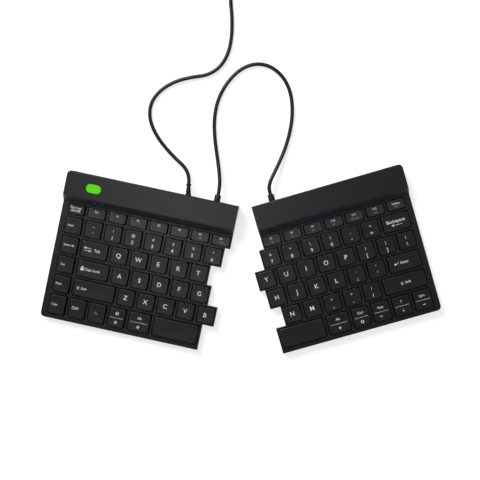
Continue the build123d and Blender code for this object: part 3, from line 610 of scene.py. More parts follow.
def key_cap_tree():
    """Hollow caps with a rounded rim and a dished top, one on each point."""
    sizes = ("Width", "Depth", "Height", "Corner", "Edge", "Draft", "Dish", "Wall", "Turn")
    tree, given, result = new_tree(
        "Key Caps", {"Geometry": "Geometry", **dict.fromkeys(sizes, "Float"), "Finish": "Material"},
        {"Geometry": "Geometry"})
    corner_steps, side_cuts, rim_steps, level = 4, 2, 3, 0.00001
    top_shares = (0.2, 0.42, 0.66, 0.88)
    frame_curve = add(tree, "GeometryNodeCurvePrimitiveQuadrilateral", {
        "Width": given["Width"], "Height": given["Depth"]})
    corners = add(tree, "GeometryNodeFilletCurve", {
        "Curve": frame_curve.outputs["Curve"], "Radius": given["Corner"]}, mode="POLY")
    next(s for s in corners.inputs if s.name == "Count").default_value = corner_steps
    finer = add(tree, "GeometryNodeSubdivideCurve", {"Curve": corners.outputs["Curve"], "Cuts": side_cuts})
    fill = add(tree, "GeometryNodeFillCurve", {"Curve": finer.outputs["Curve"]}, mode="NGONS")
    here = add(tree, "GeometryNodeInputPosition").outputs["Position"]
    keep = add(tree, "GeometryNodeStoreNamedAttribute", {
        "Geometry": fill.outputs["Mesh"], "Name": "outline", "Value": here},
        data_type="FLOAT_VECTOR", domain="POINT")

    shoulder = math(tree, "SUBTRACT", given["Height"], given["Edge"])
    ceiling = math(tree, "SUBTRACT", given["Height"], given["Wall"])
    rings = [(given["Wall"], ceiling), (given["Wall"], 0.0), (0.0, 0.0), (given["Draft"], shoulder)]
    for step in range(1, rim_steps + 1):
        turn = step / rim_steps * pi / 2
        rings.append((math(tree, "MULTIPLY_ADD", given["Edge"], 1 - cos(turn), given["Draft"]),
                      math(tree, "MULTIPLY_ADD", given["Edge"], sin(turn), shoulder)))
    rings += [(math(tree, "MULTIPLY", given["Depth"], share / 2), given["Height"]) for share in top_shares]
    ring_tree = cap_ring_tree()
    mesh, leading = keep.outputs["Geometry"], True
    for inset, height in rings:
        ring = add(tree, "GeometryNodeGroup", {
            "Mesh": mesh, "Leading": leading, "Width": given["Width"], "Depth": given["Depth"],
            "Inset": inset, "Height": height}, node_tree=ring_tree)
        mesh, leading = ring.outputs["Mesh"], ring.outputs["Leading"]

    apart = add(tree, "ShaderNodeSeparateXYZ", {0: here}).outputs
    falls = []
    for axis, side in (("X", "Width"), ("Y", "Depth")):
        ratio = math(tree, "DIVIDE", math(tree, "MULTIPLY", apart[axis], 2.0), given[side])
        falls.append(math(tree, "SUBTRACT", 1.0, math(tree, "MULTIPLY", ratio, ratio)))
    fall = math(tree, "MULTIPLY", math(tree, "MULTIPLY", *falls),
                math(tree, "MULTIPLY", given["Dish"], -1.0))
    on_top = math(tree, "GREATER_THAN", apart["Z"], math(tree, "SUBTRACT", given["Height"], level))
    down = add(tree, "ShaderNodeCombineXYZ", {"Z": fall})
    dish = add(tree, "GeometryNodeSetPosition", {
        "Geometry": mesh, "Selection": on_top, "Offset": down.outputs[0]})
    return end_tree(tree, given, result, dish.outputs["Geometry"])


def repeated_piece_tree():
    """One model piece, such as a screw or a foot, made real at every point."""
    tree, given, result = new_tree("Repeated Piece", {
        "Geometry": "Geometry", "Model": "Object", "Turn": "Float", "Finish": "Material"},
        {"Geometry": "Geometry"})
    model = add(tree, "GeometryNodeObjectInfo", {"Object": given["Model"]})
    return end_tree(tree, given, result, model.outputs["Geometry"])


# Reading the packed solids


def merged(node):
    """A CAD node's mesh as a bmesh whose faces share their corners."""
    shape = bmesh.new()
    shape.from_mesh(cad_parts[node].data)
    bmesh.ops.remove_doubles(shape, verts=shape.verts, dist=SAME_CORNER)
    return shape


def islands(shape):
    """The corners of each separate solid in a bmesh."""
    seen, solids = set(), []
    for first in shape.verts:
        if first in seen:
            continue
        seen.add(first)
        solid = [first]
        for here in solid:
            near = [edge.other_vert(here) for edge in here.link_edges]
            new = [vertex for vertex in near if vertex not in seen]
            seen.update(new)
            solid += new
        solids.append(solid)
    return solids


def solids_of(node):
    """The middle of the underside, and the height, of each separate solid in a CAD node."""
    shape = merged(node)
    found = []
    for solid in islands(shape):
        corners = np.array([vertex.co for vertex in solid])
        low, high = Vector(corners.min(0)), Vector(corners.max(0))
        found.append((((low.x + high.x) / 2, (low.y + high.y) / 2, low.z), high.z - low.z))
    shape.free()
    return found


def solids_by_key(node):
    """A CAD node's solids as one mesh for each key node that they stand under."""
    shape = merged(node)
    shape.verts.index_update()
    cells = [(key, place.inverted(), width, depth) for key, place, width, depth, _ in all_cells()]
    owned = {}
    for solid in islands(shape):
        middle = sum((vertex.co for vertex in solid), Vector()) / len(solid)
        for key, back, width, depth in cells:
            here = back @ middle
            if abs(here.x) < width / 2 and abs(here.y) < depth / 2:
                owned.setdefault(key, set()).update(vertex.index for vertex in solid)
                break
        else:
            raise RuntimeError("a solid of %s stands under no key" % node)
    meshes = {}
    for key, chosen in owned.items():
        part = shape.copy()
        others = [vertex for vertex in part.verts if vertex.index not in chosen]
        bmesh.ops.delete(part, geom=others, context="VERTS")
        meshes[key] = mesh_from(part, key)
        smooth_by_angle(meshes[key], 30)
    shape.free()
    return meshes


def eased_copy(node, name, edge):
    """A copy of a CAD node's mesh with its sharp edges rounded over."""
    mesh = mesh_from(merged(node), name)
    mesh.shade_smooth()
    thing = new_object(mesh)
    bevel = thing.modifiers.new("edge", "BEVEL")
    bevel.width = edge
    bevel.segments = 2
    bevel.limit_method = "ANGLE"
    bevel.angle_limit = radians(38)
    bevel.use_clamp_overlap = True
    flats = thing.modifiers.new("flats", "WEIGHTED_NORMAL")
    flats.mode = "FACE_AREA"
    flats.weight = 100
    return evaluated_mesh(thing, name)


# The stage and the pieces


class KEYBOARD_OT_stage(bpy.types.Operator):
    """Floor, soft light and the camera at the photograph's viewing angle"""
    bl_idname = "keyboard.stage"
    bl_label = "Stage"

    def execute(self, context):
        scene = context.scene
        scene.view_settings.view_transform = "Standard"
        floor_mesh = bpy.data.meshes.new("floor")
        side = FLOOR_HALF_SIDE
        floor_mesh.from_pydata([(-side, -side, 0), (side, -side, 0), (side, side, 0), (-side, side, 0)],
                               [], [(0, 1, 2, 3)])
        material, tree, shader = new_material("floor_white")
        tone = list(scene.keyboard_finishes.floor)
        shade, _ = mottled(tree, [c * 0.99 for c in tone], tone, 0.3)
        feed(tree, shader, {"Base Color": shade, "Roughness": 0.9, "Specular IOR Level": 0.0,
                            "Emission Color": (1, 1, 1, 1), "Emission Strength": FLOOR_GLOW})
        floor_mesh.materials.append(material)
        new_object(floor_mesh, "floor")

        scene.world = bpy.data.worlds.new("studio")
        scene.world.use_nodes = True
        feed(scene.world.node_tree, scene.world.node_tree.nodes["Background"],
             {"Color": (1, 1, 1, 1), "Strength": WORLD_STRENGTH})
        for name, place, aim, size, power in LIGHTS:
            lamp = bpy.data.lights.new(name, "AREA")
            lamp.shape = "DISK"
            lamp.size = size
            lamp.energy = power
            way = (Vector(aim) - Vector(place)).to_track_quat("-Z", "Y")
            new_object(lamp, name).matrix_world = Matrix.Translation(place) @ way.to_matrix().to_4x4()

        camera = bpy.data.cameras.new("camera")
        camera.sensor_width = CAMERA_SENSOR_MM
        camera.lens = CAMERA_LENS_MM
        camera.clip_start = 0.01
        scene.camera = new_object(camera, "camera")
        scene.camera.matrix_world = (Matrix.Translation(CAMERA_PLACE) @ Matrix.Rotation(CAMERA_PITCH, 4, "X")
                                     @ Matrix.Rotation(CAMERA_ROLL, 4, "Y"))
        return {"FINISHED"}


def exit_place(place, inward, reach):
    """The frame of a hole in the back wall, with y pointing out."""
    return place @ Matrix.Translation((inward * reach, BACK_WALL, EXIT_HEIGHT))


def cord_holder(name, node, body, profile, where, lean=0.0):
    """What holds a cord at the wall, turned from its profile, and its grommet in the wall."""
    outside, inside = lathe(profile), lathe(GROMMET_PROFILE)
    outside.transform(where @ Matrix.Rotation(lean, 4, "Z"))
    inside.transform(where)
    mesh = mesh_of([outside, inside], name)
    smooth_by_angle(mesh)
    declare(put_in_scene(mesh, name, "boot"), "cord_jacket", body, node)


def collar_profile(radius, reach):
    """A collar with eased rims, a little sunk in the wall."""
    eased, sunk = 0.0003, 0.0001
    return [(-sunk, radius - eased), (0.0, radius), (reach - eased, radius),
            (reach - eased / 3, radius - eased / 3), (reach, radius - eased), (reach, CORD_RADIUS)]


def boot_profile(sizes):
    """The boot's ribs and grooves, and the ring that ends it."""
    ring_length, ribs, groove, depth, eased, sunk = 0.001, 4, 0.0008, 0.0005, 0.00012, 0.0002
    barrel = sizes.boot_length - ring_length
    pitch = barrel / ribs
    slope = (sizes.boot_base - sizes.boot_tip) / barrel
    profile = [(-sunk, sizes.boot_base), (0.0, sizes.boot_base)]
    for rib in range(1, ribs):
        start, end = rib * pitch - groove / 2, rib * pitch + groove / 2
        radius_in, radius_out = sizes.boot_base - slope * start, sizes.boot_base - slope * end
        profile += [(start - eased, radius_in), (start, radius_in - eased),
                    (start + eased / 2, radius_in - depth), (end - eased / 2, radius_out - depth),
                    (end, radius_out - eased), (end + eased, radius_out)]
    profile += [(barrel - eased, sizes.boot_tip), (barrel, sizes.boot_ring - eased),
                (barrel + eased, sizes.boot_ring), (sizes.boot_length - eased, sizes.boot_ring),
                (sizes.boot_length, sizes.boot_ring - eased), (sizes.boot_length, CORD_RADIUS)]
    return profile


class KEYBOARD_OT_cord_holders(bpy.types.Operator):
    """The lead's ribbed boot and the link cable's two collars"""
    bl_idname = "keyboard.cord_holders"
    bl_label = "Cord holders"

    def execute(self, context):
        sizes = context.scene.keyboard_cords
        cord_holder("lead_boot", "usb_strain_relief", LEFT_BODY, boot_profile(sizes),
                    exit_place(LEFT_PLACE, 1, LEAD_EXIT), RELIEF_LEAN)
        collar = collar_profile(sizes.collar_radius, sizes.collar_length)
        cord_holder("left_collar", "left_link_collar", LEFT_BODY, collar,
                    exit_place(LEFT_PLACE, 1, LEFT_LINK_EXIT))
        cord_holder("right_collar", "right_link_collar", RIGHT_BODY, collar,
                    exit_place(RIGHT_PLACE, -1, RIGHT_LINK_EXIT))
        return {"FINISHED"}


def rounded_section(along, width, height, corner, centre, steps=6):
    """Points of a rounded rectangle across x at a place along it."""
    points = []
    for quarter, (side, up) in enumerate(((1, 1), (-1, 1), (-1, -1), (1, -1))):
        for step in range(steps + 1):
            turn = (quarter + step / steps) * pi / 2
            points.append((centre.x + along,
                           centre.y + side * (width / 2 - corner) + corner * cos(turn),
                           centre.z + up * (height / 2 - corner) + corner * sin(turn)))
    return points


class KEYBOARD_OT_plug(bpy.types.Operator):
    """The plug's moulded grip and its metal shell"""
    bl_idname = "keyboard.plug"
    bl_label = "Plug"

    def execute(self, context):
        shell_edge = 0.00012
        grip = mesh_of([lofted([rounded_section(*row, PLUG_TIP) for row in GRIP_SECTIONS])], "plug_grip")
        smooth_by_angle(grip, 40)
        declare(put_in_scene(grip, "plug_grip", "grip"), "plug_plastic", LEFT_BODY, "usb_plug_grip")
        shell = eased_copy("usb_plug_shell", "plug_shell", shell_edge)
        declare(put_in_scene(shell, "plug_shell", "shell"), "screw_steel", LEFT_BODY, "usb_plug_shell")
        return {"FINISHED"}


def coil_points():
    """The put-away turns: inwards on the floor, up one pitch, outwards on top of them, to the plug."""
    turning, points_past_the_turns = COIL_HALF_TURNS, 3
    innermost = COIL_RADIUS - (turning + 1 / 2) * COIL_PITCH / 2
    points = []
    for step in range(1, 2 * turning * COIL_POINTS_A_HALF_TURN + points_past_the_turns + 1):
        number = step / COIL_POINTS_A_HALF_TURN
        climbed = min(max(number - turning, 0.0), 1.0)
        if number <= turning:
            radius = COIL_RADIUS - number * COIL_PITCH / 2
        elif number <= turning + 1:
            radius = innermost + (1 - climbed) * COIL_PITCH / 4
        else:
            radius = innermost + (number - turning - 1) * COIL_PITCH / 2
            radius += min(number - turning - 1, 1.0) * COIL_PITCH / 4
        turn = pi * number
        points.append(COIL_CENTRE + Vector((-radius * cos(turn), radius * sin(turn), climbed * COIL_PITCH)))
    lift, bend = COIL_CENTRE.z + COIL_PITCH, 0.0001
    for x, z in ((0.022, lift), (0.027, lift - bend), (0.033, (lift + PLUG_TIP.z) / 2),
                 (0.039, PLUG_TIP.z + bend), (0.044, PLUG_TIP.z)):
        points.append(Vector((x, PLUG_TIP.y, z)))
    return points + [PLUG_TIP]


def tube_rings(line, radius, steps=14):
    """Rings of points square to a line, turned as little as they can be from one to the next."""
    line = [Vector(p) for p in line]
    ways = [(b - a).normalized() for a, b in zip(line, line[1:])]
    ways = [ways[0]] + [(a + b).normalized() for a, b in zip(ways, ways[1:])] + [ways[-1]]
    side = ways[0].orthogonal().normalized()
    rings = []
    for point, way in zip(line, ways):
        side = (side - way * side.dot(way)).normalized()
        up = way.cross(side)
        rings.append([point + radius * (c * side + s * up) for c, s in round_steps(steps)])
    return rings


class KEYBOARD_OT_cords(bpy.types.Operator):
    """The lead to the plug, and the link cable in two pieces between the halves"""
    bl_idname = "keyboard.cords"
    bl_label = "Cords"

    def execute(self, context):
        curve = nurbs_curve([*LEAD_ROUTE, *coil_points()], "lead", CORD_RADIUS)
        curve.materials.append(finish_of("jacket"))
        lead = declare(new_object(curve, "lead"), "cord_jacket", LEFT_BODY, "usb_cable", "usb_cable_coil")

        drawn = evaluated_mesh(new_object(nurbs_curve(LINK_ROUTE, "link_line")), "link_line")
        line = [tuple(vertex.co) for vertex in drawn.vertices]
        rings = tube_rings(line, CORD_RADIUS)
        top = max(range(len(line)), key=lambda i: line[i][1])
        left_end, right_end = LINK_ROUTE[0], LINK_ROUTE[-1]
        for name, chosen, path, near, bodies, start, end in (
                ("link_cable_left", rings[:top + 1], line[:top + 1], left_end,
                 (LEFT_BODY, LINK_BODY), left_end, line[top]),
                ("link_cable_right", rings[top:], line[:top - 1:-1], right_end,
                 (LINK_BODY, RIGHT_BODY), line[top], right_end)):
            mesh = mesh_of([lofted(chosen)], name)
            smooth_by_angle(mesh, 60)
            piece = declare(put_in_scene(mesh, name, "jacket"), "cord_jacket", None, "link_cable")
            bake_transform(piece)
        return {"FINISHED"}


def paint_slope_shade(mesh, place):
    """The bar's faces above the deck that look forward and up take a navy tone, painted shade and painted
    reflection on the case plastic.
    """
    above_deck, least_forward, least_up = DECK_TOP + 0.0002, 0.3, 0.1
    mesh.materials.append(finish_of("strip"))
    forwards = place.to_3x3() @ Vector((0, -1, 0))
    for face in mesh.polygons:
        if (face.center.z > above_deck and face.normal.dot(forwards) > least_forward
                and face.normal.z > least_up):
            face.material_index = 1


class KEYBOARD_OT_cases(bpy.types.Operator):
    """The decks with their raised bars, and the trays under them"""
    bl_idname = "keyboard.cases"
    bl_label = "Cases"

    def execute(self, context):
        edge = context.scene.keyboard_case.edge
        for side, body, place in HALVES:
            for node, name in (("_top_case", "_deck_and_bar"), ("_bottom_case", "_tray")):
                mesh = eased_copy(side + node, side + name, edge)
                piece = put_in_scene(mesh, side + name, "case")
                declare(piece, "case_plastic", body, side + node)
                if node == "_top_case":
                    # The bar's slope takes its painted shade and reflection
                    paint_slope_shade(mesh, place)
        return {"FINISHED"}


def turned_model(profile, steps, name):
    """A turned model that stands on z = 0, from (height, radius) pairs."""
    body = lathe(profile, steps)
    body.transform(Matrix.Rotation(pi / 2, 4, "X"))
    return new_object(mesh_of([body], name))


def screw_model(long):
    """A pan head with a cross recess underneath, standing head down."""
    eased, slot_wide, slot_long, slot_deep = 0.00012, 0.00028, 0.0013, 0.0003
    head, shank = SCREW_HEAD_RADIUS, SCREW_SHANK_RADIUS
    model = turned_model([(0.0, head - eased), (eased / 3, head - eased / 3), (eased, head),
                          (SCREW_HEAD_HEIGHT, head), (SCREW_HEAD_HEIGHT, shank),
                          (long - 2 * eased, shank), (long, shank - 2 * eased)], 24, "screw")
    for wide, deep in ((slot_wide, slot_long), (slot_long, slot_wide)):
        slot = bmesh.new()
        bmesh.ops.create_cube(slot, size=1.0, matrix=Matrix.Diagonal((wide, deep, 2 * slot_deep, 1)))
        cutter = new_object(mesh_from(slot, "slot"))
        cut = model.modifiers.new("cross", "BOOLEAN")
        cut.operation = "DIFFERENCE"
        cut.object = cutter
        cut.solver = "EXACT"
        mesh = evaluated_mesh(model, "screw")
        bpy.data.objects.remove(cutter)
        model = new_object(mesh)
    smooth_by_angle(model.data, 30)
    return model


def foot_model(sizes):
    """A round rubber foot with an eased rim and a shallow ring in its sole."""
    radius, high, eased = sizes.foot_radius, sizes.foot_height, sizes.foot_edge
    ring_deep, ring_inner_share, ring_outer_share = 0.00012, 0.56, 0.62
    model = turned_model([(ring_deep, radius * ring_inner_share), (0.0, radius * ring_outer_share),
                          (0.0, radius - eased), (eased * 0.3, radius - eased * 0.3), (eased, radius),
                          (high, radius)], 48, "foot")
    smooth_by_angle(model.data, 30)
    return model


class KEYBOARD_OT_screws_and_feet(bpy.types.Operator):
    """The screws and the rubber feet under each half"""
    bl_idname = "keyboard.screws_and_feet"
    bl_label = "Screws and feet"

    def execute(self, context):
        tree = repeated_piece_tree()
        foot = foot_model(context.scene.keyboard_case)
        for side, body, place in HALVES:
            turn = place.to_euler().z
            by_length = {}
            for spot, height in solids_of(side + "_case_screws"):
                by_length.setdefault(round(height, 5), []).append(spot)
            gathered = bmesh.new()
            for long, spots in by_length.items():
                screw = screw_model(long)
                gathered.from_mesh(run_tree(tree, spots, {
                    "Model": screw, "Turn": turn, "Finish": finish_of("screw")}, "screws"))
                bpy.data.objects.remove(screw)
            screws = mesh_from(gathered, side + "_screws")
            feet = run_tree(tree, [spot for spot, _ in solids_of(side + "_rubber_feet")], {
                "Model": foot, "Turn": turn, "Finish": finish_of("rubber")}, side + "_feet")
            for mesh, node, finish, slot in ((screws, "_case_screws", "screw", "screw_steel"),
                                             (feet, "_rubber_feet", "rubber", "foot_rubber")):
                declare(put_in_scene(mesh, mesh.name, finish), slot, body, side + node)
        bpy.data.objects.remove(foot)
        return {"FINISHED"}


def add_finger_mark(gathered, place, depth):
    """The little raised bar that the fingers find."""
    long, deep, high, rounding, from_front = 0.0036, 0.0008, 0.00028, 0.00022, 0.0032
    before = set(gathered.verts)
    spot = place @ Matrix.Translation((0, from_front - depth / 2, CAP_TOP))
    bmesh.ops.create_cube(gathered, size=1.0, matrix=spot @ Matrix.Diagonal((long, deep, 2 * high, 1)))
    edges = [edge for edge in gathered.edges if before.isdisjoint(edge.verts)]
    bmesh.ops.bevel(gathered, geom=edges, offset=rounding, segments=3, affect="EDGES", profile=0.5)


class KEYBOARD_OT_caps(bpy.types.Operator):
    """The key caps, each node's caps as one mesh on its own body"""
    bl_idname = "keyboard.caps"
    bl_label = "Key caps"

    def execute(self, context):
        sizes = context.scene.keyboard_caps
        tree = key_cap_tree()
        groups = {}
        for node, place, width, depth, legend in all_cells():
            kinds = groups.setdefault(node, {})
            kinds.setdefault((round(width, 6), round(depth, 6)), []).append((place, legend))
        for node, kinds in groups.items():
            finish = "function_caps_painted_sheen" if node in FUNCTION_ROW else "caps"
            gathered = bmesh.new()
            for (width, depth), caps in kinds.items():
                spots = [place @ Vector((0, 0, CAP_BOTTOM)) for place, _ in caps]
                gathered.from_mesh(run_tree(tree, spots, {
                    "Width": width, "Depth": depth, "Height": CAP_HEIGHT, "Corner": sizes.corner,
                    "Edge": sizes.edge, "Draft": sizes.draft, "Dish": sizes.dish, "Wall": sizes.wall,
                    "Turn": caps[0][0].to_euler().z, "Finish": finish_of(finish)}, node))
                for place, legend in caps:
                    if (node, legend[-1]) in FINGER_MARKS:
                        add_finger_mark(gathered, place, depth)
            bmesh.ops.recalc_face_normals(gathered, faces=gathered.faces)
            mesh = mesh_from(gathered, node + "_caps")
            smooth_by_angle(mesh, 40)
            declare(put_in_scene(mesh, node + "_caps", finish), "key_plastic", node, node)
        return {"FINISHED"}


# Drawing the legends: an outline is a list of points, a shape is a list of outlines.
# Each shape is filled at a size that is DRAWN_LARGER times its own, and then shrunk.

DRAWN_LARGER = 1000.0
LETTER_WEIGHT = 0.012
MARK_SIZE = 0.0024
PAGE_WORD = 0.0018
ARROW_HEAD = 0.0019
ARROW_TURNS = {"left": 180, "right": 0, "up": 90, "down": -90}
SPEAKER_WAVES = {"mute": 0, "quieter": 1, "louder": 2}


def circle(x, y, radius, steps=20):
    return [(x + radius * c, y + radius * s) for c, s in round_steps(steps)]


def bar(x, y, width, height):
    return [(x - width / 2, y - height / 2), (x + width / 2, y - height / 2),
            (x + width / 2, y + height / 2), (x - width / 2, y + height / 2)]


def turned(outline, degrees, x=0.0, y=0.0):
    c, s = cos(radians(degrees)), sin(radians(degrees))
    return [(x + c * px - s * py, y + s * px + c * py) for px, py in outline]


def arrow(x, y, long, head, degrees, stroke=0.00032):
    """An arrow that points to +x before it is turned."""
    half, wing = long / 2, head * 0.62
    return turned([(-half, -stroke / 2), (half - head, -stroke / 2), (half - head, -wing), (half, 0),
                   (half - head, wing), (half - head, stroke / 2), (-half, stroke / 2)], degrees, x, y)


def shift_mark(x, y, size):
    """The outlined upward arrow of a shift key."""
    def outline(grow):
        half, neck, low = size / 2 + grow, size * 0.24 + grow, size * 0.5 + grow
        wings = y - grow * 0.4
        return [(x, y + low), (x + half, wings), (x + neck, wings), (x + neck, y - low),
                (x - neck, y - low), (x - neck, wings), (x - half, wings)]
    return [outline(0.0), outline(-size * 0.13)]


def lock_mark(x, y, size):
    """A padlock: a filled body with a hole, and a bow above."""
    body = circle(x, y - size * 0.12, size * 0.42)
    hole = circle(x, y - size * 0.12, size * 0.12, 10)
    bow_shares = ((-0.26, 0.2), (-0.26, 0.44), (-0.14, 0.58), (0.14, 0.58), (0.26, 0.44), (0.26, 0.2),
                  (0.13, 0.24), (0.13, 0.42), (0, 0.47), (-0.13, 0.42), (-0.13, 0.24))
    return [[body, hole], [[(x + size * across, y + size * up) for across, up in bow_shares]]]


def speaker(x, y, size, waves):
    """A loudspeaker with as many waves as it is loud."""
    horn_shares = ((-0.5, -0.18), (-0.25, -0.18), (0, -0.42), (0, 0.42), (-0.25, 0.18), (-0.5, 0.18))
    shapes = [[[(x + size * across, y + size * up) for across, up in horn_shares]]]
    for wave in range(waves):
        shapes.append([bar(x + size * (0.22 + 0.2 * wave), y, size * 0.07, size * (0.4 + 0.25 * wave))])
    return shapes


def screen(x, y, size):
    return [bar(x, y, size, size * 0.66), bar(x, y, size * 0.74, size * 0.40)]


def mark_shapes(name, x, y):
    """The shapes of one of the small marks; none where the name is no mark."""
    size = MARK_SIZE
    if name == "ring":
        return [[circle(x, y, size * 0.62), circle(x, y, size * 0.36)]]
    if name == "diamond":
        return [[turned(bar(0, 0, size * share, size * share), 45, x, y) for share in (0.86, 0.42)]]
    if name in ARROW_TURNS:
        return [[arrow(x, y, size * 1.15, size * 0.5, ARROW_TURNS[name])]]
    if name in SPEAKER_WAVES:
        return speaker(x, y, size * 0.8, SPEAKER_WAVES[name])
    screens = [screen(x, y, size * 0.8), screen(x + size * 0.75, y + size * 0.25, size * 0.55)]
    return {"screen": screens[:1], "screens": screens}.get(name, [])


# Words of each kind of cap: place across and deep, height by name or in metres, grey or not
WORDS = {
    "letter": ((-0.0004, 0.0002, "letter", False),),
    "pair": ((0, 0.0030, "mark", False), (0, -0.0034, "figure", False)),
    "word": ((-0.0024, 0.0002, "small", False),),
    "words": ((-0.0003, 0.0002, "small", False),),
    "lines": ((-0.0004, 0.0017, 0.0020, False), (-0.0004, -0.0012, 0.0020, False)),
    "lines_dim": ((0, 0.0012, "small", False), (0, -0.0016, 0.0013, True)),
    "high": ((-0.0002, 0.0017, "small", False),),
    "tab": ((0.0030, 0, 0.0026, False),),
    "lock": ((-0.0001, 0, 0.0024, False),),
    "shift_left": ((-0.0093, 0, 0.0021, False),),
    "shift_right": ((0.0029, 0, 0.0021, False),),
    "enter": ((0.0002, 0, 0.0024, False),),
    "backspace": ((0, 0.0014, 0.0029, False),),
    "ctrl": ((-0.0020, 0.0006, 0.0026, False),),
    "dim": ((-0.0006, 0, 0.0021, True),),
}
# Shapes drawn beside the words
DRAWINGS = {
    "tab": [[arrow(-0.0060, 0.0012, 0.0062, ARROW_HEAD, 180)], [bar(-0.0094, 0.0012, 0.0003, 0.0022)],
            [arrow(-0.0060, -0.0012, 0.0062, ARROW_HEAD, 0)], [bar(-0.0026, -0.0012, 0.0003, 0.0022)]],
    "lock": lock_mark(-0.0098, 0, 0.0038),
    "shift_left": [shift_mark(-0.0148, 0, 0.0030)],
    "shift_right": [shift_mark(-0.0026, 0, 0.0030)],
    "enter": [[arrow(-0.0078, -0.0004, 0.0042, ARROW_HEAD, 180)], [bar(-0.00585, 0.0006, 0.0003, 0.0020)]],
    "backspace": [[arrow(0.0004, -0.0024, 0.0100, ARROW_HEAD, 180)]],
}
# Places on a function key and on a cap that a line splits in two
SECOND_WORD_LEVEL = -0.0018
SECOND_WORD_HEIGHT = 0.0011
SECOND_MARK_LEVEL = -0.0017
UPPER_LEVEL = 0.0040
LINE_LEVEL = -0.0002
LINE_SHARE = 0.78
LINE_STROKE = 0.00024
LOWER_LEVEL = -0.0044
LEFT_ARROW_SHIFT = -0.0012


class Inker:
    """Gathers the printing of one cap: where it lies, and in which ink."""

    def __init__(self, sizes, capital_share):
        self.sizes = sizes
        self.capital_share = capital_share
        self.meshes = []

    def keep(self, curve, dim):
        """Takes a curve that was drawn larger as a thin mesh at its true size."""
        curve.extrude = self.sizes.ink * DRAWN_LARGER
        mesh = evaluated_mesh(new_object(curve), "print")
        mesh.transform(Matrix.Scale(1 / DRAWN_LARGER, 4))
        self.meshes.append((mesh, dim))
        return mesh

    def shape(self, outlines, dim=False):
        """A printed shape from closed outlines, inner ones left open."""
        curve = bpy.data.curves.new("print", "CURVE")
        curve.dimensions = "2D"
        curve.fill_mode = "BOTH"
        for outline in outlines:
            spline = curve.splines.new("POLY")
            spline.points.add(len(outline) - 1)
            for point, (x, y) in zip(spline.points, outline):
                point.co = (x * DRAWN_LARGER, y * DRAWN_LARGER, 0, 1)
            spline.use_cyclic_u = True
        self.keep(curve, dim)

    def word(self, text, x, y, height, dim=False):
        """Text with its capitals' height given, centred on a point."""
        curve = bpy.data.curves.new("print", "FONT")
        curve.body = text
        curve.size = height * DRAWN_LARGER / self.capital_share
        curve.align_x = "CENTER"
        curve.offset = LETTER_WEIGHT * height * DRAWN_LARGER
        curve.resolution_u = 3
        mesh = self.keep(curve, dim)
        if len(mesh.vertices):
            xs = [vertex.co.x for vertex in mesh.vertices]
            mesh.transform(Matrix.Translation((x - (min(xs) + max(xs)) / 2, y - height / 2, 0)))

    def named(self, name, x, y, dim=False):
        """One of the small marks, or a word where the name is no mark."""
        shapes = mark_shapes(name, x, y)
        for shape in shapes:
            self.shape(shape, dim)
        if name and not shapes:
            self.word(name, x, y, PAGE_WORD if name.startswith("Pg") else self.sizes.word, dim)

    def cap(self, legend, width):
        """One cap's legend, in the cap's own frame."""
        kind, *texts = legend
        for text, (x, y, height, dim) in zip(texts, WORDS.get(kind, ())):
            self.word(text, x, y, getattr(self.sizes, height) if isinstance(height, str) else height, dim)
        for shape in DRAWINGS.get(kind, ()):
            self.shape(shape)
        if kind == "high" and texts[1][:1].isupper():
            self.word(texts[1], 0, SECOND_WORD_LEVEL, SECOND_WORD_HEIGHT, dim=True)
        elif kind == "high":
            self.named(texts[1], 0, SECOND_MARK_LEVEL, dim=True)
        elif kind == "split":
            self.named(texts[0], 0, UPPER_LEVEL)
            self.shape([bar(0, LINE_LEVEL, width * LINE_SHARE, LINE_STROKE)])
            self.named(texts[1], LEFT_ARROW_SHIFT if texts[1] == "left" else 0, LOWER_LEVEL)


class KEYBOARD_OT_legends(bpy.types.Operator):
    """The white and grey printing on the caps, one mesh for each key node"""
    bl_idname = "keyboard.legends"
    bl_label = "Legends"

    def execute(self, context):
        scene = context.scene
        probe = bpy.data.curves.new("probe", "FONT")
        probe.body = "H"
        probe.size = 1.0
        tall = evaluated_mesh(new_object(probe), "probe")
        capital_share = max(vertex.co.y for vertex in tall.vertices)
        printed = {}
        for node, place, width, depth, legend in all_cells():
            points, faces, inks = printed.setdefault(node, ([], [], []))
            inker = Inker(scene.keyboard_legends, capital_share)
            inker.cap(legend, width)
            for mesh, dim in inker.meshes:
                first = len(points)
                for vertex in mesh.vertices:
                    low = dish_at(vertex.co.x, vertex.co.y, width, depth, scene.keyboard_caps.dish)
                    points.append(place @ (vertex.co + Vector((0, 0, CAP_TOP - low))))
                for face in mesh.polygons:
                    faces.append([first + i for i in face.vertices])
                    inks.append(1 if dim else 0)
                bpy.data.meshes.remove(mesh)
        for node, (points, faces, inks) in printed.items():
            if faces:
                mesh = bpy.data.meshes.new(node + "_legend")
                mesh.from_pydata([tuple(point) for point in points], [], faces)
                piece = put_in_scene(mesh, node + "_legend", "ink", "dim_ink")
                mesh.polygons.foreach_set("material_index", np.array(inks, np.int32))
                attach(piece, node)
        return {"FINISHED"}


class KEYBOARD_OT_switches(bpy.types.Operator):
    """Domes, levers and wires, each key's as a piece of its own on its half"""
    bl_idname = "keyboard.switches"
    bl_label = "Switch parts"

    def execute(self, context):
        kinds = (("_rubber_domes", "_domes", "silicone", "dome_rubber"),
                 ("_scissor_links", "_levers", "lever", "link_plastic"),
                 ("_stabiliser_wires", "_wires", "steel", "plate_steel"))
        for side, body, _ in HALVES:
            for node, word, finish, slot in kinds:
                for key, mesh in solids_by_key(side + node).items():
                    piece = declare(put_in_scene(mesh, key + word, finish), slot, body, side + node)
                    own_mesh(piece)
        return {"FINISHED"}


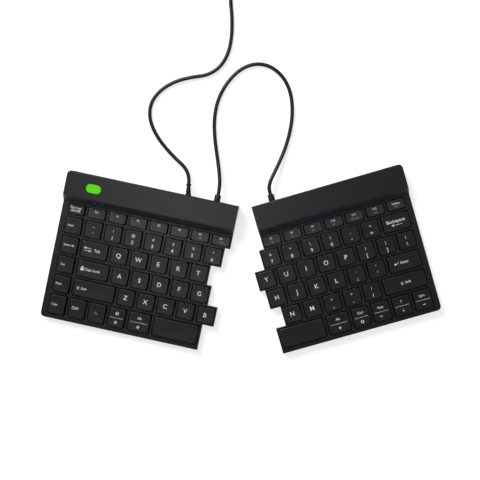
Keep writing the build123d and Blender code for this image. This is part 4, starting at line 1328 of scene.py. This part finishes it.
class KEYBOARD_OT_inner_parts(bpy.types.Operator):
    """Finishes of the pieces that keep their packed shape"""
    bl_idname = "keyboard.inner_parts"
    bl_label = "Inner parts"

    def execute(self, context):
        finishes = {"light_window": "window", "signal_led": "led", "indicator_lenses": "lens"}
        for side, _, _ in HALVES:
            # The membrane's near-black tone is painted shade for the gaps round the keys
            finishes.update({side + "_backplate": "steel", side + "_membrane": "sheet",
                             side + "_circuit_board": "board"})
        for node, finish in finishes.items():
            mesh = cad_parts[node].data
            mesh.materials.clear()
            mesh.materials.append(finish_of(finish))
        return {"FINISHED"}


class KEYBOARD_PT_pieces(bpy.types.Panel):
    """Lists the keyboard's pieces and its sizes"""
    bl_label = "Split Keyboard"
    bl_idname = "KEYBOARD_PT_pieces"
    bl_space_type = "VIEW_3D"
    bl_region_type = "UI"
    bl_category = "Split Keyboard"

    def draw(self, context):
        for operator in OPERATORS:
            self.layout.operator(operator.bl_idname)
        for name, settings in SETTINGS.items():
            box = self.layout.box()
            box.label(text=settings.__doc__)
            for field in settings.__annotations__:
                box.prop(getattr(context.scene, name), field)


OPERATORS = (KEYBOARD_OT_stage, KEYBOARD_OT_cord_holders, KEYBOARD_OT_plug, KEYBOARD_OT_cords,
             KEYBOARD_OT_cases, KEYBOARD_OT_screws_and_feet, KEYBOARD_OT_caps,
             KEYBOARD_OT_legends, KEYBOARD_OT_switches, KEYBOARD_OT_inner_parts)
SETTINGS = {"keyboard_caps": CapSizes, "keyboard_legends": LegendSizes, "keyboard_case": CaseSizes,
            "keyboard_cords": CordSizes, "keyboard_finishes": Finishes}


def register():
    for name, group in SETTINGS.items():
        bpy.utils.register_class(group)
        setattr(bpy.types.Scene, name, bpy.props.PointerProperty(type=group))
    for kind in (*OPERATORS, KEYBOARD_PT_pieces):
        bpy.utils.register_class(kind)


def unregister():
    for kind in (KEYBOARD_PT_pieces, *reversed(OPERATORS)):
        bpy.utils.unregister_class(kind)
    for name, group in SETTINGS.items():
        delattr(bpy.types.Scene, name)
        bpy.utils.unregister_class(group)


def main():
    register()
    for operator in OPERATORS:
        group, name = operator.bl_idname.split(".")
        getattr(getattr(bpy.ops, group), name)()


if __name__ == "__main__":
    main()
